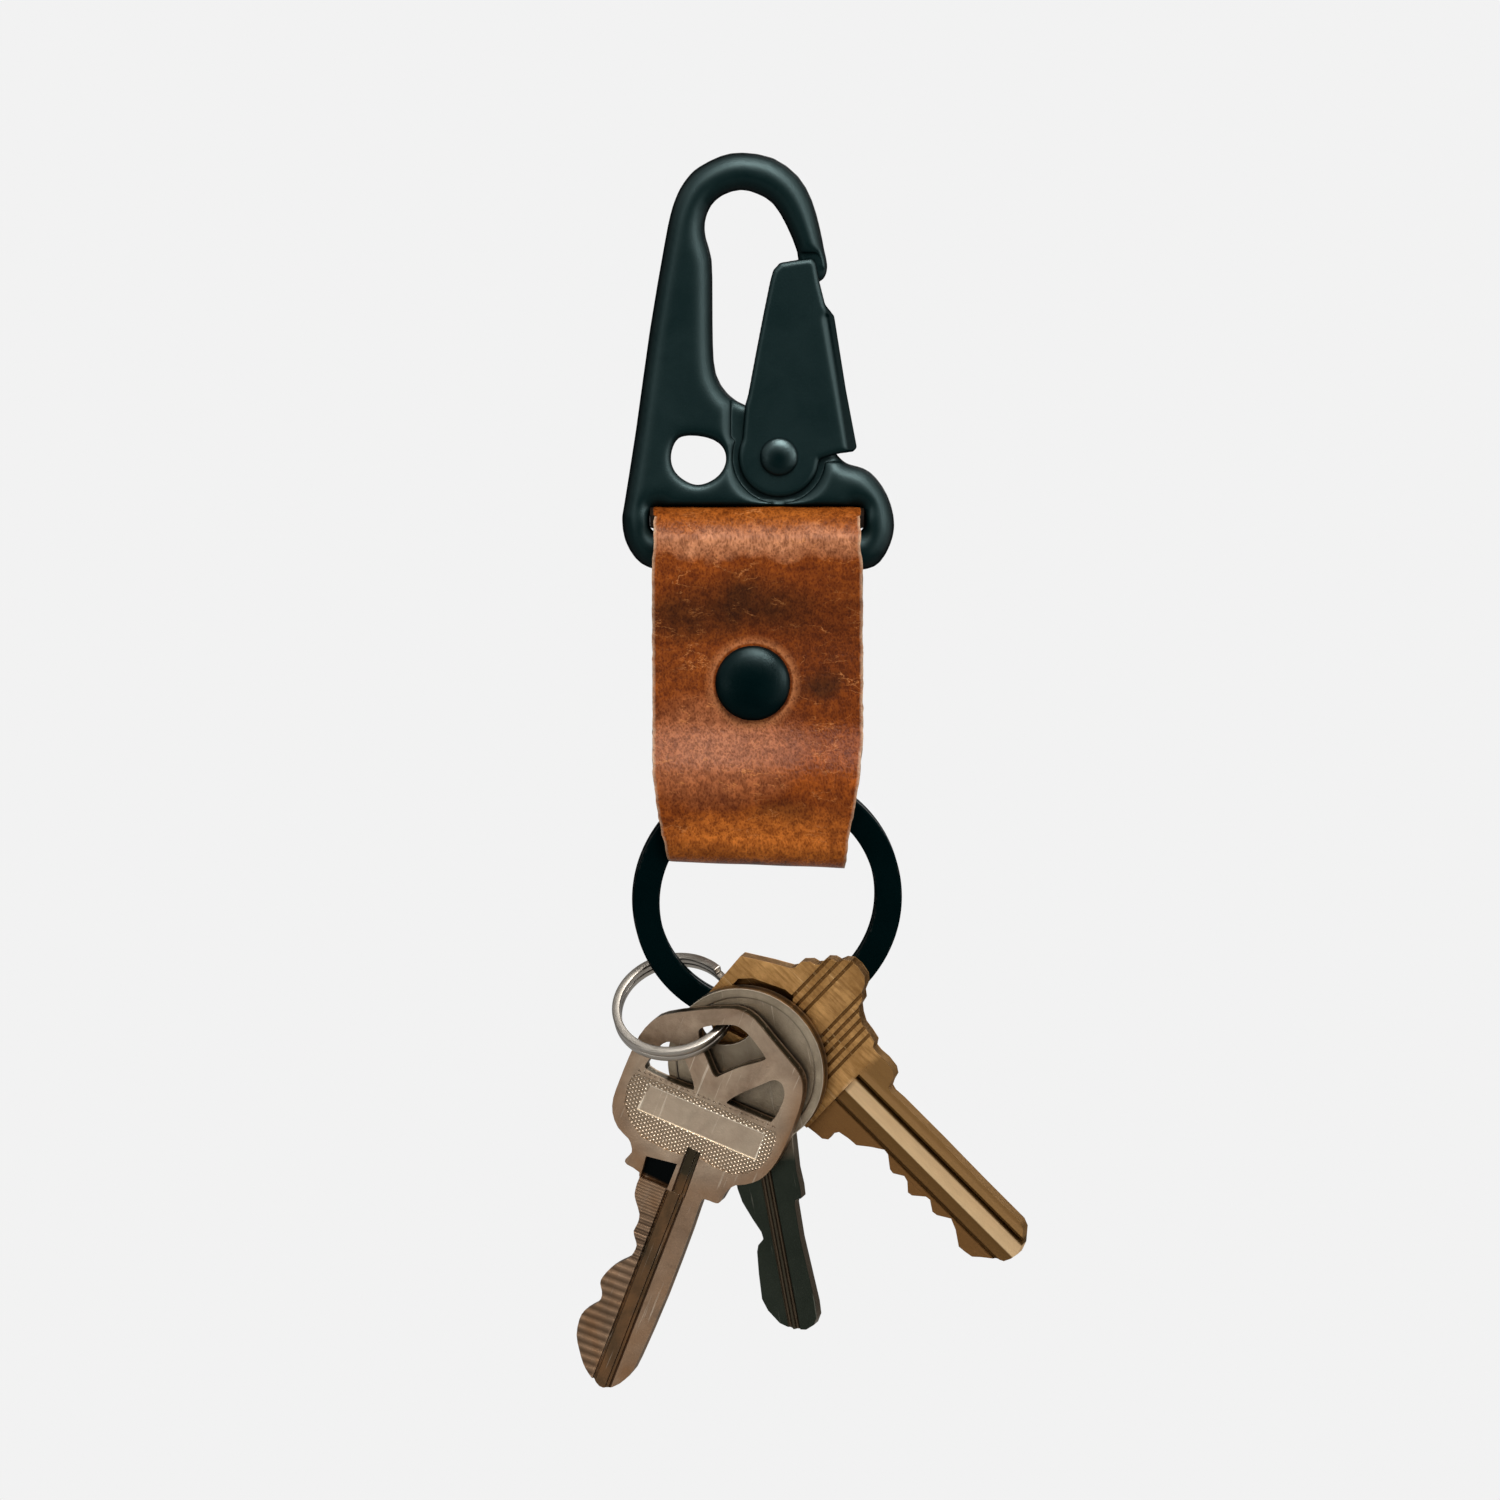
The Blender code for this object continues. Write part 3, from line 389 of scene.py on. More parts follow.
def half_turn(centre, half, way):
    """The middle line of a fold over (way 1) or under (way -1) something, from its near end to its far end."""
    turns = [math.radians(10 + 160 * k / 12) for k in range(13)]
    return [(centre[0] + way * half * math.cos(turn), centre[1] + way * half * math.sin(turn)) for turn in turns]


def side_at(side, z):
    """The strip's side at a height."""
    if z >= side[0][0]:
        return side[0][1]
    for (high, start), (low, end) in zip(side, side[1:]):
        if z >= low:
            return start + (end - start) * (high - z) / (high - low)
    return side[-1][1]


def strap_leather():
    """The strip swept along its run, its sides a little ragged and its faces swelling away from the rivet."""
    run = curve_through([*LAP_RUN, *half_turn((0.0, BAR_Z), FOLD_MID, 1), *FRONT_RUN,
                         *half_turn(LOOP_CENTRE, LOOP_HALF, -1), *BACK_RUN], 4)
    lengths = [0.0]
    for near, far in zip(run, run[1:]):
        lengths.append(lengths[-1] + (far - near).length)
    made = bmesh.new()
    last = len(run) - 1
    bmesh.ops.create_grid(made, x_segments=60, y_segments=last, size=1.0)
    place = made.verts.layers.float_vector.new("hide")
    slot_shade = made.verts.layers.float.new("slot_shade")
    outward = {}
    for vert in list(made.verts):
        step = round((vert.co.y + 1) / 2 * last)
        across = (vert.co.x + 1) / 2
        y, z = run[step]
        along = (run[min(step + 1, last)] - run[max(step - 1, 0)]).normalized()
        out = Vector((0.0, along.y, -along.x))
        rear = min(1.0, max(0.0, (y - 0.6) / 1.4))
        left, right = side_at(LEFT_SIDE, z) * (1 - rear) + side_at(LEFT_REAR, z) * rear, side_at(RIGHT_SIDE, z)
        # Where the strip fills the slot its sides follow the slot, and its two side edges are marked for painted
        # shade.
        if z > SLOT_SIDES[-1][0] and abs(y) < 2.9:
            vert[slot_shade] = float(across < 0.01 or across > 0.99)
            left, right = (side_at([(at, side[k]) for at, *side in SLOT_SIDES], z) for k in range(2))
        x = left + (right - left) * across
        z += 0.8 * (1 - across) * min(1.0, max(0.0, (-66.0 - z) / 12.0))
        ragged = 0.16 * noise.noise(Vector((x * 0.1, lengths[step] * 0.9, 3.0)))
        x += ragged * (abs(across - 0.5) * 2) ** 8
        clear = min(1.0, max(0.0, (math.hypot(x - RIVET_X, z - RIVET_Z) - 4.6) / 3.0))
        swell = 0.16 * clear * noise.noise(Vector((x * 0.16, lengths[step] * 0.13, 7.0)))
        vert[place] = (x * MM, lengths[step] * MM, 0.0)
        vert.co = (Vector((x, y, z)) + out * (LEATHER / 2 + swell)) * MM
        outward[vert] = out
    twins = bmesh.ops.duplicate(made, geom=made.verts[:] + made.edges[:] + made.faces[:])["vert_map"]
    for vert, out in outward.items():
        twins[vert].co = vert.co - out * LEATHER * MM
    bmesh.ops.bridge_loops(made, edges=[edge for edge in made.edges if edge.is_boundary])
    bmesh.ops.recalc_face_normals(made, faces=made.faces)
    raw = made.verts.layers.float.new("raw")
    for edge in made.edges:
        if edge.calc_face_angle(0.0) > 1.0:
            for vert in edge.verts:
                vert[raw] = 1.0
    edge_rounds(made, 0.28 * MM, 60, rounds=3)
    return made


def spot(tree, here, centre, size):
    """A soft oval patch round a place in x and z, 1 in its middle and 0 outside it."""
    moved = turned_vector(tree, here, scale=(1 / (size[0] * MM), 0.0, 1 / (size[1] * MM)),
                          shift=(-centre[0] / size[0], 0.0, -centre[1] / size[1]))
    return put(tree, "ShaderNodeTexGradient", {"Vector": moved}, gradient_type="SPHERICAL").outputs["Fac"]


def strayed(tree, place, scale, detail, far):
    """A place moved about, up to this far, by a soft noise."""
    soft = put(tree, "ShaderNodeTexNoise", {"Vector": place, "Scale": scale, "Detail": detail}).outputs["Color"]
    return put(tree, "ShaderNodeVectorMath", {0: soft, 1: far, 2: place}, operation="MULTIPLY_ADD").outputs[0]


# Dark and pale patches: centre, size, colour and greatest share. The dark patches are handled marks, those above the
# rivet also painted shade where the leather turns down; the dark band along the loop's foot is painted shade, and the
# pale bands across the top fold and below the rivet are painted highlights.
HANDLED_AND_LIGHT_PATCHES = (
    ((9.5, -56.0), (10.0, 13.0), (0.155, 0.034, 0.005), 0.88),
    ((-7.0, -55.5), (8.0, 9.0), (0.230, 0.056, 0.008), 0.70),
    ((-0.2, -49.9), (10.5, 4.8), (0.070, 0.020, 0.004), 0.92),
    ((-8.0, -51.6), (4.6, 3.4), (0.100, 0.027, 0.005), 0.80),
    ((9.2, -59.6), (3.8, 2.8), (0.060, 0.019, 0.005), 0.80),
    ((5.0, -75.0), (4.6, 2.2), (0.110, 0.030, 0.005), 0.80),
    ((-3.5, -67.0), (13.0, 8.0), (0.450, 0.172, 0.080), 0.82),
    ((2.0, -78.6), (18.0, 5.0), (0.690, 0.200, 0.029), 0.90),
    ((2.0, -39.6), (20.0, 2.8), (0.400, 0.114, 0.017), 0.85),
    ((2.0, -42.4), (34.0, 2.3), (0.590, 0.250, 0.120), 0.90),
    ((3.0, -82.0), (12.0, 1.7), (0.080, 0.024, 0.005), 0.90),
)


def pull_up_leather():
    """Oiled leather: pebble grain, fine pale cracks, handled dark patches, painted highlights and shade where it
    bends, pale raw edges, and painted shade on its edges in the slot.
    """
    finish, tree, shader = new_finish("pull_up_leather", 0.0, 0.10)
    hide = attribute(tree, "hide")
    here = put(tree, "ShaderNodeTexCoord").outputs["Object"]
    wandered = strayed(tree, hide, 1400.0, 2.0, (0.0005, 0.0005, 0.0))
    loose = strayed(tree, here, 210.0, 5.0, (0.005, 0.005, 0.005))
    stretched = turned_vector(tree, wandered, (0, 0, -0.40), (1.45, 0.95, 1.0))
    pits = ramp(tree, put(tree, "ShaderNodeTexVoronoi", {"Vector": stretched, "Scale": 2700.0}).outputs["Distance"],
                (0.05, 1.0), (0.35, 0.65), (0.65, 0.0))
    pores = ramp(tree, cloud(tree, wandered, 3600.0, 3.0, 0.6), (0.50, 0.0), (0.64, 1.0))
    ridge = maths(tree, "ABSOLUTE", maths(tree, "SUBTRACT", cloud(
        tree, turned_vector(tree, wandered, (0, 0, 0.25), (1.0, 2.8, 1.0)), 170.0, 5.0, 0.55, 0.5), 0.5))
    cracks = times(tree, ramp(tree, ridge, (0.0, 1.0), (0.010, 0.0)),
                   ramp(tree, cloud(tree, hide, 240.0, 3.0), (0.48, 0.0), (0.62, 1.0)))
    mottle = cloud(tree, hide, 260.0, 7.0, 0.66, 0.4)
    tone = mixed(tree, ramp(tree, mottle, (0.34, 0.0), (0.66, 1.0)), (0.205, 0.043, 0.0054), (0.375, 0.089, 0.0106))
    for centre, size, colour, most in HANDLED_AND_LIGHT_PATCHES:
        patch = times(tree, spot(tree, loose, (centre[0] + 2.5, centre[1] + 2.5), size),
                      scaled(tree, mottle, 1.6, 0.2))
        tone = mixed(tree, ramp(tree, patch, (0.02, 0.0), (0.30, most * 0.42), (0.80, most)), tone, colour)
    clumps = cloud(tree, wandered, 950.0, 3.0, 0.65)
    tone = mixed(tree, ramp(tree, clumps, (0.37, 0.80), (0.62, 0.12)), tone, (0.45, 0.38, 0.33), "MULTIPLY")
    print_ring = ramp(tree, spot(tree, here, (RIVET_X, RIVET_Z), (7.0, 7.0)),
                      (0.15, 0.0), (0.23, 0.30), (0.30, 0.75), (0.33, 0.0))
    tone = mixed(tree, print_ring, tone, (0.430, 0.160, 0.060))
    tone = mixed(tree, times(tree, pits, 0.72), tone, (0.34, 0.26, 0.20), "MULTIPLY")
    tone = mixed(tree, times(tree, pores, 0.24), tone, (0.30, 0.24, 0.20), "MULTIPLY")
    tone = mixed(tree, times(tree, cracks, 0.60), tone, (0.600, 0.230, 0.070))
    frayed = times(tree, attribute(tree, "raw", "Fac"),
                   ramp(tree, cloud(tree, here, 1500.0, 6.0, 0.75), (0.30, 0.15), (0.60, 1.0)))
    tone = mixed(tree, frayed, tone, (0.50, 0.33, 0.21))
    # Painted shade on the strip's edges inside the slot.
    slot_shade = ramp(tree, attribute(tree, "slot_shade", "Fac"), (0.0, 0.0), (0.2, 1.0))
    tone = mixed(tree, slot_shade, tone, (0.014, 0.008, 0.005))
    relief = scaled(tree, pits, -1.0, scaled(tree, pores, -0.2, mottle))
    surface(tree, shader, tone, scaled(tree, mottle, 0.14, 0.30), relief, 0.00005, strength=0.6)
    return finish


piece("folded_strap", strap_leather(), [pull_up_leather()], "strap", ["leather_strap"], smooth=70)


# ---- Rivet -----------------------------------------------------------------
# A double-cap rivet: two thin domed shells clenched over their bases, the front one's
# post set into the back one's stem through three layers of leather.
RIVET_COAT = powder_coat("rivet_lacquer", (0.0002, 0.0036, 0.0040), (0.0008, 0.0052, 0.0056), (0.34, 0.30, 0.27),
                         roughness=0.24, sheen=(0.02, 0.24))
for shell in ("front", "back"):
    piece(f"{shell}_cap", merged_copy(f"rivet_{shell}_shell", 0.00008), [RIVET_COAT], "strap",
          [f"rivet_{shell}_shell"], smooth=50)
for hidden in ("rivet_front_base", "rivet_post"):
    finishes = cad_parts[hidden].data.materials
    finishes.clear()
    finishes.append(RIVET_COAT)


# ---- Flat split ring -------------------------------------------------------
# A flat band of spring steel wound twice round and coated black; the strap's loop holds
# its top, and the small ring hangs on its lower left.
def laid(centre, slopes, angle):
    """Lay a piece drawn in XZ, turned by an angle, in the plane y = slopes[0] x + slopes[1] z through a centre."""
    turn = math.radians(angle)
    down = Vector((math.sin(turn), slopes[0] * math.sin(turn) - slopes[1] * math.cos(turn), -math.cos(turn)))
    up = -down.normalized()
    away = Vector((-slopes[0], 1.0, -slopes[1])).normalized()
    return Matrix.Translation(centre) @ Matrix((away.cross(up), away, up)).transposed().to_4x4()


def split_coil(outer, band, pitch, layer, round_off, rounds=2):
    """Two turns of band about the Y direction: a flat turn, a step one layer deep, and a second flat turn."""
    made = bmesh.new()
    corners = [made.verts.new(((outer - inward) * MM, (side * layer - pitch) / 2 * MM, 0.0))
               for inward, side in ((0, -1), (0, 1), (band, 1), (band, -1))]
    held = corners + [made.edges.new((corners[i - 1], corners[i])) for i in range(4)]
    bmesh.ops.rotate(made, verts=corners, cent=(0, 0, 0), matrix=Matrix.Rotation(math.radians(-24), 3, "Y"))
    for sweep, rise in ((318, 0.0), (36, pitch), (318, 0.0)):
        steps = sweep * 2 // 3
        held = bmesh.ops.spin(made, geom=held, cent=(0, 0, 0), axis=(0, -1, 0), dvec=(0, rise * MM / steps, 0),
                              angle=math.radians(sweep), steps=steps)["geom_last"]
    bmesh.ops.holes_fill(made, edges=[e for e in made.edges if e.is_boundary], sides=4)
    bmesh.ops.recalc_face_normals(made, faces=made.faces)
    edge_rounds(made, round_off * MM, 50, rounds)
    return made


RING_COAT = powder_coat("ring_coat", (0.0002, 0.0036, 0.0040), (0.0006, 0.0048, 0.0052), (0.30, 0.27, 0.25),
                        roughness=0.44, sheen=(0.0, 0.02))
RING_CENTRE = (0.0030, 0.0036, -0.08496)
RING_SLOPES = (0.09, -math.tan(math.radians(18)))
flat_ring = split_coil(outer=16.2, band=3.2, pitch=1.18, layer=1.12, round_off=0.26)
bmesh.ops.transform(flat_ring, verts=flat_ring.verts, matrix=laid(RING_CENTRE, RING_SLOPES, -90))
piece("flat_band_ring", flat_ring, [RING_COAT], "ring", ["flat_ring"], smooth=50)


# ---- Small split ring ------------------------------------------------------
# Nickel-plated round wire, pressed flat where its two turns meet, threaded through the
# flat ring and all three keys.
def plated_wire():
    """Bright nickel plate, dulled in soft smudges by handling."""
    finish, tree, shader = new_finish("plated_wire", 1.0)
    here = put(tree, "ShaderNodeTexCoord").outputs["Object"]
    smudges = placed_wear(tree, here, Scratch_Scale=2200.0, Smudge_Scale=130.0)["Smudges"]
    surface(tree, shader, mixed(tree, smudges, (0.32, 0.285, 0.24), (0.42, 0.38, 0.33)),
            scaled(tree, smudges, 0.08, 0.27))
    return finish


SMALL_CENTRE = (-0.0081, 0.00348, -0.09804)
SMALL_SLOPES = (-0.20, 0.76)
small_ring = split_coil(outer=7.5, band=1.0, pitch=0.91, layer=0.87, round_off=0.30, rounds=4)
bmesh.ops.transform(small_ring, verts=small_ring.verts, matrix=laid(SMALL_CENTRE, SMALL_SLOPES, 20))
piece("plated_key_ring", small_ring, [plated_wire()], "key_ring", ["small_ring"], smooth=60)


# ---- House key -------------------------------------------------------------
# Stamped nickel silver with a window bow, a sunk knurled field round a bare name panel,
# and a blade milled along its face and cut across its left edge.
KEY_SLOPES = (-0.36, -0.30)
KEY_THICK = 1.8
FRONT = -KEY_THICK / 2
ABOVE = FRONT - 1.0
THROUGH = (-KEY_THICK, KEY_THICK)
# Each key lies this many millimetres in front of the one behind it; all hang on the wire at this x and z.
KEY_STEP = 2.05
STACK = (-0.00096, -0.09744)


def key_place(bow, angle, layer):
    """Where a key's bow centre lies, with its blade swung by the angle; layer 0 is the rear key."""
    slant = math.sqrt(1 + KEY_SLOPES[0] ** 2 + KEY_SLOPES[1] ** 2)
    wire_y = (SMALL_CENTRE[1] + SMALL_SLOPES[0] * (STACK[0] - SMALL_CENTRE[0])
              + SMALL_SLOPES[1] * (STACK[1] - SMALL_CENTRE[2]))
    y = (wire_y + KEY_SLOPES[0] * (bow[0] - STACK[0]) + KEY_SLOPES[1] * (bow[1] - STACK[1])
         - KEY_STEP * MM * layer * slant)
    return laid((bow[0], y, bow[1]), KEY_SLOPES, angle)


def pushed(made, corners, way):
    """Add a closed form to a bmesh: a face with these corners pushed along a way, all in millimetres."""
    face = made.faces.new([made.verts.new((x * MM, y * MM, z * MM)) for x, y, z in corners])
    grown = bmesh.ops.extrude_face_region(made, geom=[face])["geom"]
    bmesh.ops.translate(made, verts=[g for g in grown if isinstance(g, bmesh.types.BMVert)],
                        vec=[step * MM for step in way])
    bmesh.ops.recalc_face_normals(made, faces=made.faces)
    return made


def slab(outline, front, back, made=None):
    """A plate with this outline between two depths, added to a bmesh or in a new one."""
    return pushed(made or bmesh.new(), [(x, front, z) for x, z in outline], (0, back - front, 0))


def trough(section, top, foot, drift=0.0):
    """A cutter for lengthwise milling: a section of (x, depth below the front face) run from top to foot."""
    closed = [(section[0][0], -1.0), *section, (section[-1][0], -1.0)]
    return pushed(bmesh.new(), [(x, deep - KEY_THICK / 2, top) for x, deep in closed], (drift, 0, foot - top))


def carve(made, *cutters):
    """Take closed cutters out of a closed form."""
    helpers = []
    for form in (made, *cutters):
        mesh = bpy.data.meshes.new("carving")
        form.to_mesh(mesh)
        form.free()
        helpers.append(bpy.data.objects.new("carving", mesh))
        scene.collection.objects.link(helpers[-1])
    for cutter in helpers[1:]:
        step = helpers[0].modifiers.new("carve", "BOOLEAN")
        step.operation, step.solver, step.object = "DIFFERENCE", "EXACT", cutter
    carved = bmesh.new()
    carved.from_object(helpers[0], bpy.context.evaluated_depsgraph_get())
    for helper in helpers:
        bpy.data.objects.remove(helper, do_unlink=True)
    bmesh.ops.remove_doubles(carved, verts=carved.verts, dist=4e-6)
    bmesh.ops.dissolve_limit(carved, angle_limit=math.radians(0.5), verts=carved.verts, edges=carved.edges)
    return carved


def finish_key(name, made, round_off, place, finishes, node, knurled=None):
    """Round a key's edges, note each point's place on the key, set its knurled field apart, and hang it up."""
    edge_rounds(made, round_off * MM, 35)
    plan = made.verts.layers.float_vector.new("plan")
    for vert in made.verts:
        vert[plan] = vert.co
    for face in made.faces:
        if knurled and face.normal.y < -0.9 and knurled(face.calc_center_median() / MM):
            face.material_index = 1
    bmesh.ops.transform(made, matrix=place, verts=made.verts)
    piece(name, made, finishes, node, [node], smooth=40)


def between(tree, value, low, high, soft):
    """1 where a value lies between two limits, with soft ends."""
    return times(tree, spread(tree, value, low - soft, low + soft, curve="SMOOTHSTEP"),
                 spread(tree, value, high - soft, high + soft, 1.0, 0.0, "SMOOTHSTEP"))


def boxed(tree, first, low, high, second, left, right, soft, side_soft):
    """1 where one value lies between low and high and another between left and right."""
    return times(tree, between(tree, first, low, high, soft), between(tree, second, left, right, side_soft))


def key_metal(name, low, high, grime_and_shade, bright, roughness, grime_shade_depths=(0.36, 0.60)):
    """Handled key metal: soft tone changes, grime and painted shade in what is sunk, bright worn edges that also
    stand as painted highlights along the bevels, fine scratches.
    """
    finish, tree, shader = new_finish(name, 1.0)
    plan = attribute(tree, "plan")
    # the point's place on its key, in millimetres: across, below the nearer face, and along
    parts = put(tree, "ShaderNodeSeparateXYZ", {0: plan}).outputs
    across, deep, along = (times(tree, parts[k], 1 / MM) for k in range(3))
    deep = maths(tree, "SUBTRACT", KEY_THICK / 2, maths(tree, "ABSOLUTE", deep))
    wear = placed_wear(tree, plan, Scratch_Scale=1900.0, Smudge_Scale=260.0, Grain_Scale=5200.0)
    patches = cloud(tree, plan, 120.0, 6.0, 0.6, 0.4)
    tone = mixed(tree, ramp(tree, patches, (0.36, 0.0), (0.64, 1.0)), low, high)
    tone = mixed(tree, times(tree, wear["Smudges"], 0.35), tone, grime_and_shade)
    # Grime and painted shade: deeper places are darkened.
    tone = mixed(tree, times(tree, spread(tree, deep, *grime_shade_depths), 0.94), tone, grime_and_shade)
    # Edge rounds painted bright: worn edges, and painted highlights along the bevels.
    tone = mixed(tree, times(tree, attribute(tree, "edge", "Fac"), 0.75), tone, bright)
    tone = mixed(tree, times(tree, wear["Scratches"], 0.35), tone, bright)
    shader.inputs["Specular Tint"].default_value = (*(0.5 + 0.5 * level for level in bright), 1.0)
    rough = scaled(tree, wear["Smudges"], 0.14, roughness)
    return finish, tree, shader, {
        "tone": tone, "rough": rough, "across": across, "deep": deep, "along": along, "height": wear["Height"],
        "plan": plan, "patches": patches, "scratches": wear["Scratches"]}


def wave(tree, vector, turn, period):
    """Straight ridges across a key face, one each period in millimetres."""
    return put(tree, "ShaderNodeTexWave", {"Vector": turned_vector(tree, vector, (0.0, math.radians(turn), 0.0)),
                                           "Scale": math.pi / 10 / (period * MM), "Detail": 0.0, "Distortion": 0.0},
               wave_type="BANDS", bands_direction="X", wave_profile="SIN").outputs["Fac"]


def nickel_silver(name, knurled):
    """Nickel silver, browner away from the bow's middle, with fine lines across the blade's cut side, a dark pocket
    and a painted highlight framing the bare panel; knurled, it has a diamond pattern of bright studs."""
    finish, tree, shader, made = key_metal(name, (0.310, 0.210, 0.140), (0.540, 0.410, 0.290), (0.026, 0.022, 0.012),
                                           (0.92, 0.80, 0.64), 0.37, (0.18, 0.50))
    plan, across, along = made["plan"], made["across"], made["along"]
    middle = put(tree, "ShaderNodeTexGradient", {"Vector": turned_vector(
        tree, plan, scale=(85.0, 0.0, 70.0), shift=(0.0, 0.0, -0.1))}, gradient_type="SPHERICAL").outputs["Fac"]
    brown = ramp(tree, scaled(tree, made["patches"], 0.8, times(tree, middle, -1.0)), (0.22, 0.0), (0.50, 0.80))
    tone = mixed(tree, brown, made["tone"], (0.230, 0.110, 0.045))
    strokes = times(tree, wave(tree, plan, 96.0, 1.15), boxed(tree, along, -60.0, -17.5, across, -9.0, 0.1, 1.5, 0.3))
    fine = times(tree, wave(tree, plan, 95.0, 0.42), boxed(tree, along, -24.0, -13.7, across, -9.0, 0.1, 0.5, 0.1))
    tone = mixed(tree, times(tree, strokes, 0.66), tone, (0.070, 0.042, 0.025))
    tone = mixed(tree, times(tree, fine, 0.35), tone, (0.110, 0.062, 0.036))
    relief = scaled(tree, strokes, -4.0, scaled(tree, fine, -2.0, made["height"]))
    distance = 0.00003
    pocket = boxed(tree, made["deep"], 0.68, 2.0, along, -13.6, -9.8, 0.05, 0.4)
    tone = mixed(tree, pocket, tone, (0.003, 0.004, 0.004))
    # Painted highlight: a pale frame along the bare panel's sunk rim; the panel inside it a little paler.
    tilted = scaled(tree, across, -0.0645, along)
    outer = boxed(tree, tilted, -5.82, -1.92, across, -7.05, 8.90, 0.06, 0.06)
    inner = boxed(tree, tilted, -5.54, -2.18, across, -6.75, 8.58, 0.06, 0.06)
    tone = mixed(tree, times(tree, inner, 0.22), tone, (0.78, 0.65, 0.50))
    tone = mixed(tree, maths(tree, "SUBTRACT", outer, inner, clamp=True), tone, (0.90, 0.78, 0.62))
    if knurled:
        studs = times(tree, wave(tree, plan, 62.0, 0.42), wave(tree, plan, -50.0, 0.45))
        tone = mixed(tree, ramp(tree, studs, (0.04, 0.0), (0.40, 1.0)), (0.330, 0.240, 0.160), tone)
        tone = mixed(tree, ramp(tree, studs, (0.40, 0.0), (0.80, 0.9)), tone, (0.82, 0.68, 0.52))
        relief, distance = scaled(tree, studs, 3.2, relief), 0.00004
    surface(tree, shader, tone, made["rough"], relief, distance)
    return finish


HOUSE_EDGE = (
    (-3.8, -13.3), (-5.6, -13.1), (-6.0, -12.6), (-5.6, -11.4), (-6.0, -10.6), (-6.6, -10.0), (-8.3, -9.3),
    (-9.6, -7.9), (-10.2, -6.1), (-10.3, -3.6), (-10.3, -0.4), (-10.1, 2.7), (-9.4, 5.0), (-8.2, 6.6), (-4.9, 8.9),
    (-1.5, 10.9), (0.2, 11.5), (2.2, 11.3), (5.1, 9.9), (8.2, 8.4), (9.7, 7.6), (10.7, 6.4), (11.3, 4.5), (11.5, 1.9),
    (11.5, -0.7), (11.4, -3.1), (11.0, -5.2), (10.2, -7.1), (8.8, -8.5), (7.7, -9.2), (7.0, -10.3), (6.8, -11.6),
    (6.6, -12.3), (5.9, -12.5), (5.0, -12.6), (4.5, -13.2), (4.7, -17.2), (4.9, -26.6), (4.7, -35.4), (4.4, -37.6),
    (3.7, -39.3), (2.4, -40.7), (1.4, -41.0), (0.5, -40.5), (-0.4, -40.0), (-1.4, -39.2), (-2.5, -37.8),
    (-3.5, -36.2), (-3.9, -34.2), (-3.7, -32.8), (-2.8, -31.5), (-2.4, -30.5), (-2.6, -29.6), (-3.2, -28.7),
    (-3.2, -27.8), (-2.7, -26.3), (-1.9, -25.1), (-1.1, -24.1), (-0.8, -23.1), (-0.8, -22.1), (-1.3, -21.4),
    (-1.8, -20.6), (-1.7, -19.5), (-1.9, -18.3), (-2.9, -17.0), (-3.4, -16.2), (-3.6, -14.9),
)
HOUSE_WINDOWS = (
    ((-7.8, -0.9), (-7.9, 0.6), (-7.3, 2.7), (-6.3, 3.8), (-4.9, 3.5), (-3.1, 1.9), (-1.5, -0.1), (-1.9, -0.6),
     (-4.5, -0.9)),
    ((-3.6, 6.7), (-2.9, 7.7), (-1.4, 8.7), (0.3, 9.5), (1.7, 9.4), (2.9, 8.9), (5.0, 7.7), (5.1, 7.0), (2.8, 4.9),
     (1.1, 3.0), (0.5, 2.3), (-0.2, 2.7), (-1.5, 4.0), (-2.6, 5.1)),
    ((2.9, 0.1), (4.0, 1.8), (5.9, 4.0), (7.1, 5.3), (8.0, 5.5), (8.7, 5.0), (9.2, 3.9), (9.2, 1.9), (8.9, 0.5),
     (8.4, 0.2), (5.4, 0.0), (3.3, -0.1)),
)
KNURL_FIELD = (
    (-8.9, -1.9), (-5.7, -1.5), (-0.3, -1.2), (5.0, -0.9), (9.8, -0.6), (10.2, -1.5), (10.3, -3.9), (9.7, -5.7),
    (8.5, -7.1), (6.7, -8.1), (4.7, -8.3), (2.5, -8.1), (1.0, -7.9), (0.3, -8.8), (-1.9, -9.1), (-5.2, -9.0),
    (-7.4, -7.7), (-8.7, -6.0), (-9.2, -3.7),
)
KNURL_DEEP = 0.10
NAME_PANEL = ((-6.6, -2.5), (8.6, -1.5), (8.8, -5.1), (-7.1, -6.1))
HOUSE_POCKET = ((-3.8, -11.0), (0.1, -10.1), (0.1, -13.6), (-3.5, -13.9))


def rounded_edge(points, steps=3):
    """A closed curve through an outline's points."""
    out = []
    for i in range(len(points)):
        near = [Vector(points[(i + k) % len(points)]) for k in (-1, 0, 1, 2)]
        out += [tuple(curve_point(*near, k / steps)) for k in range(steps)]
    return out


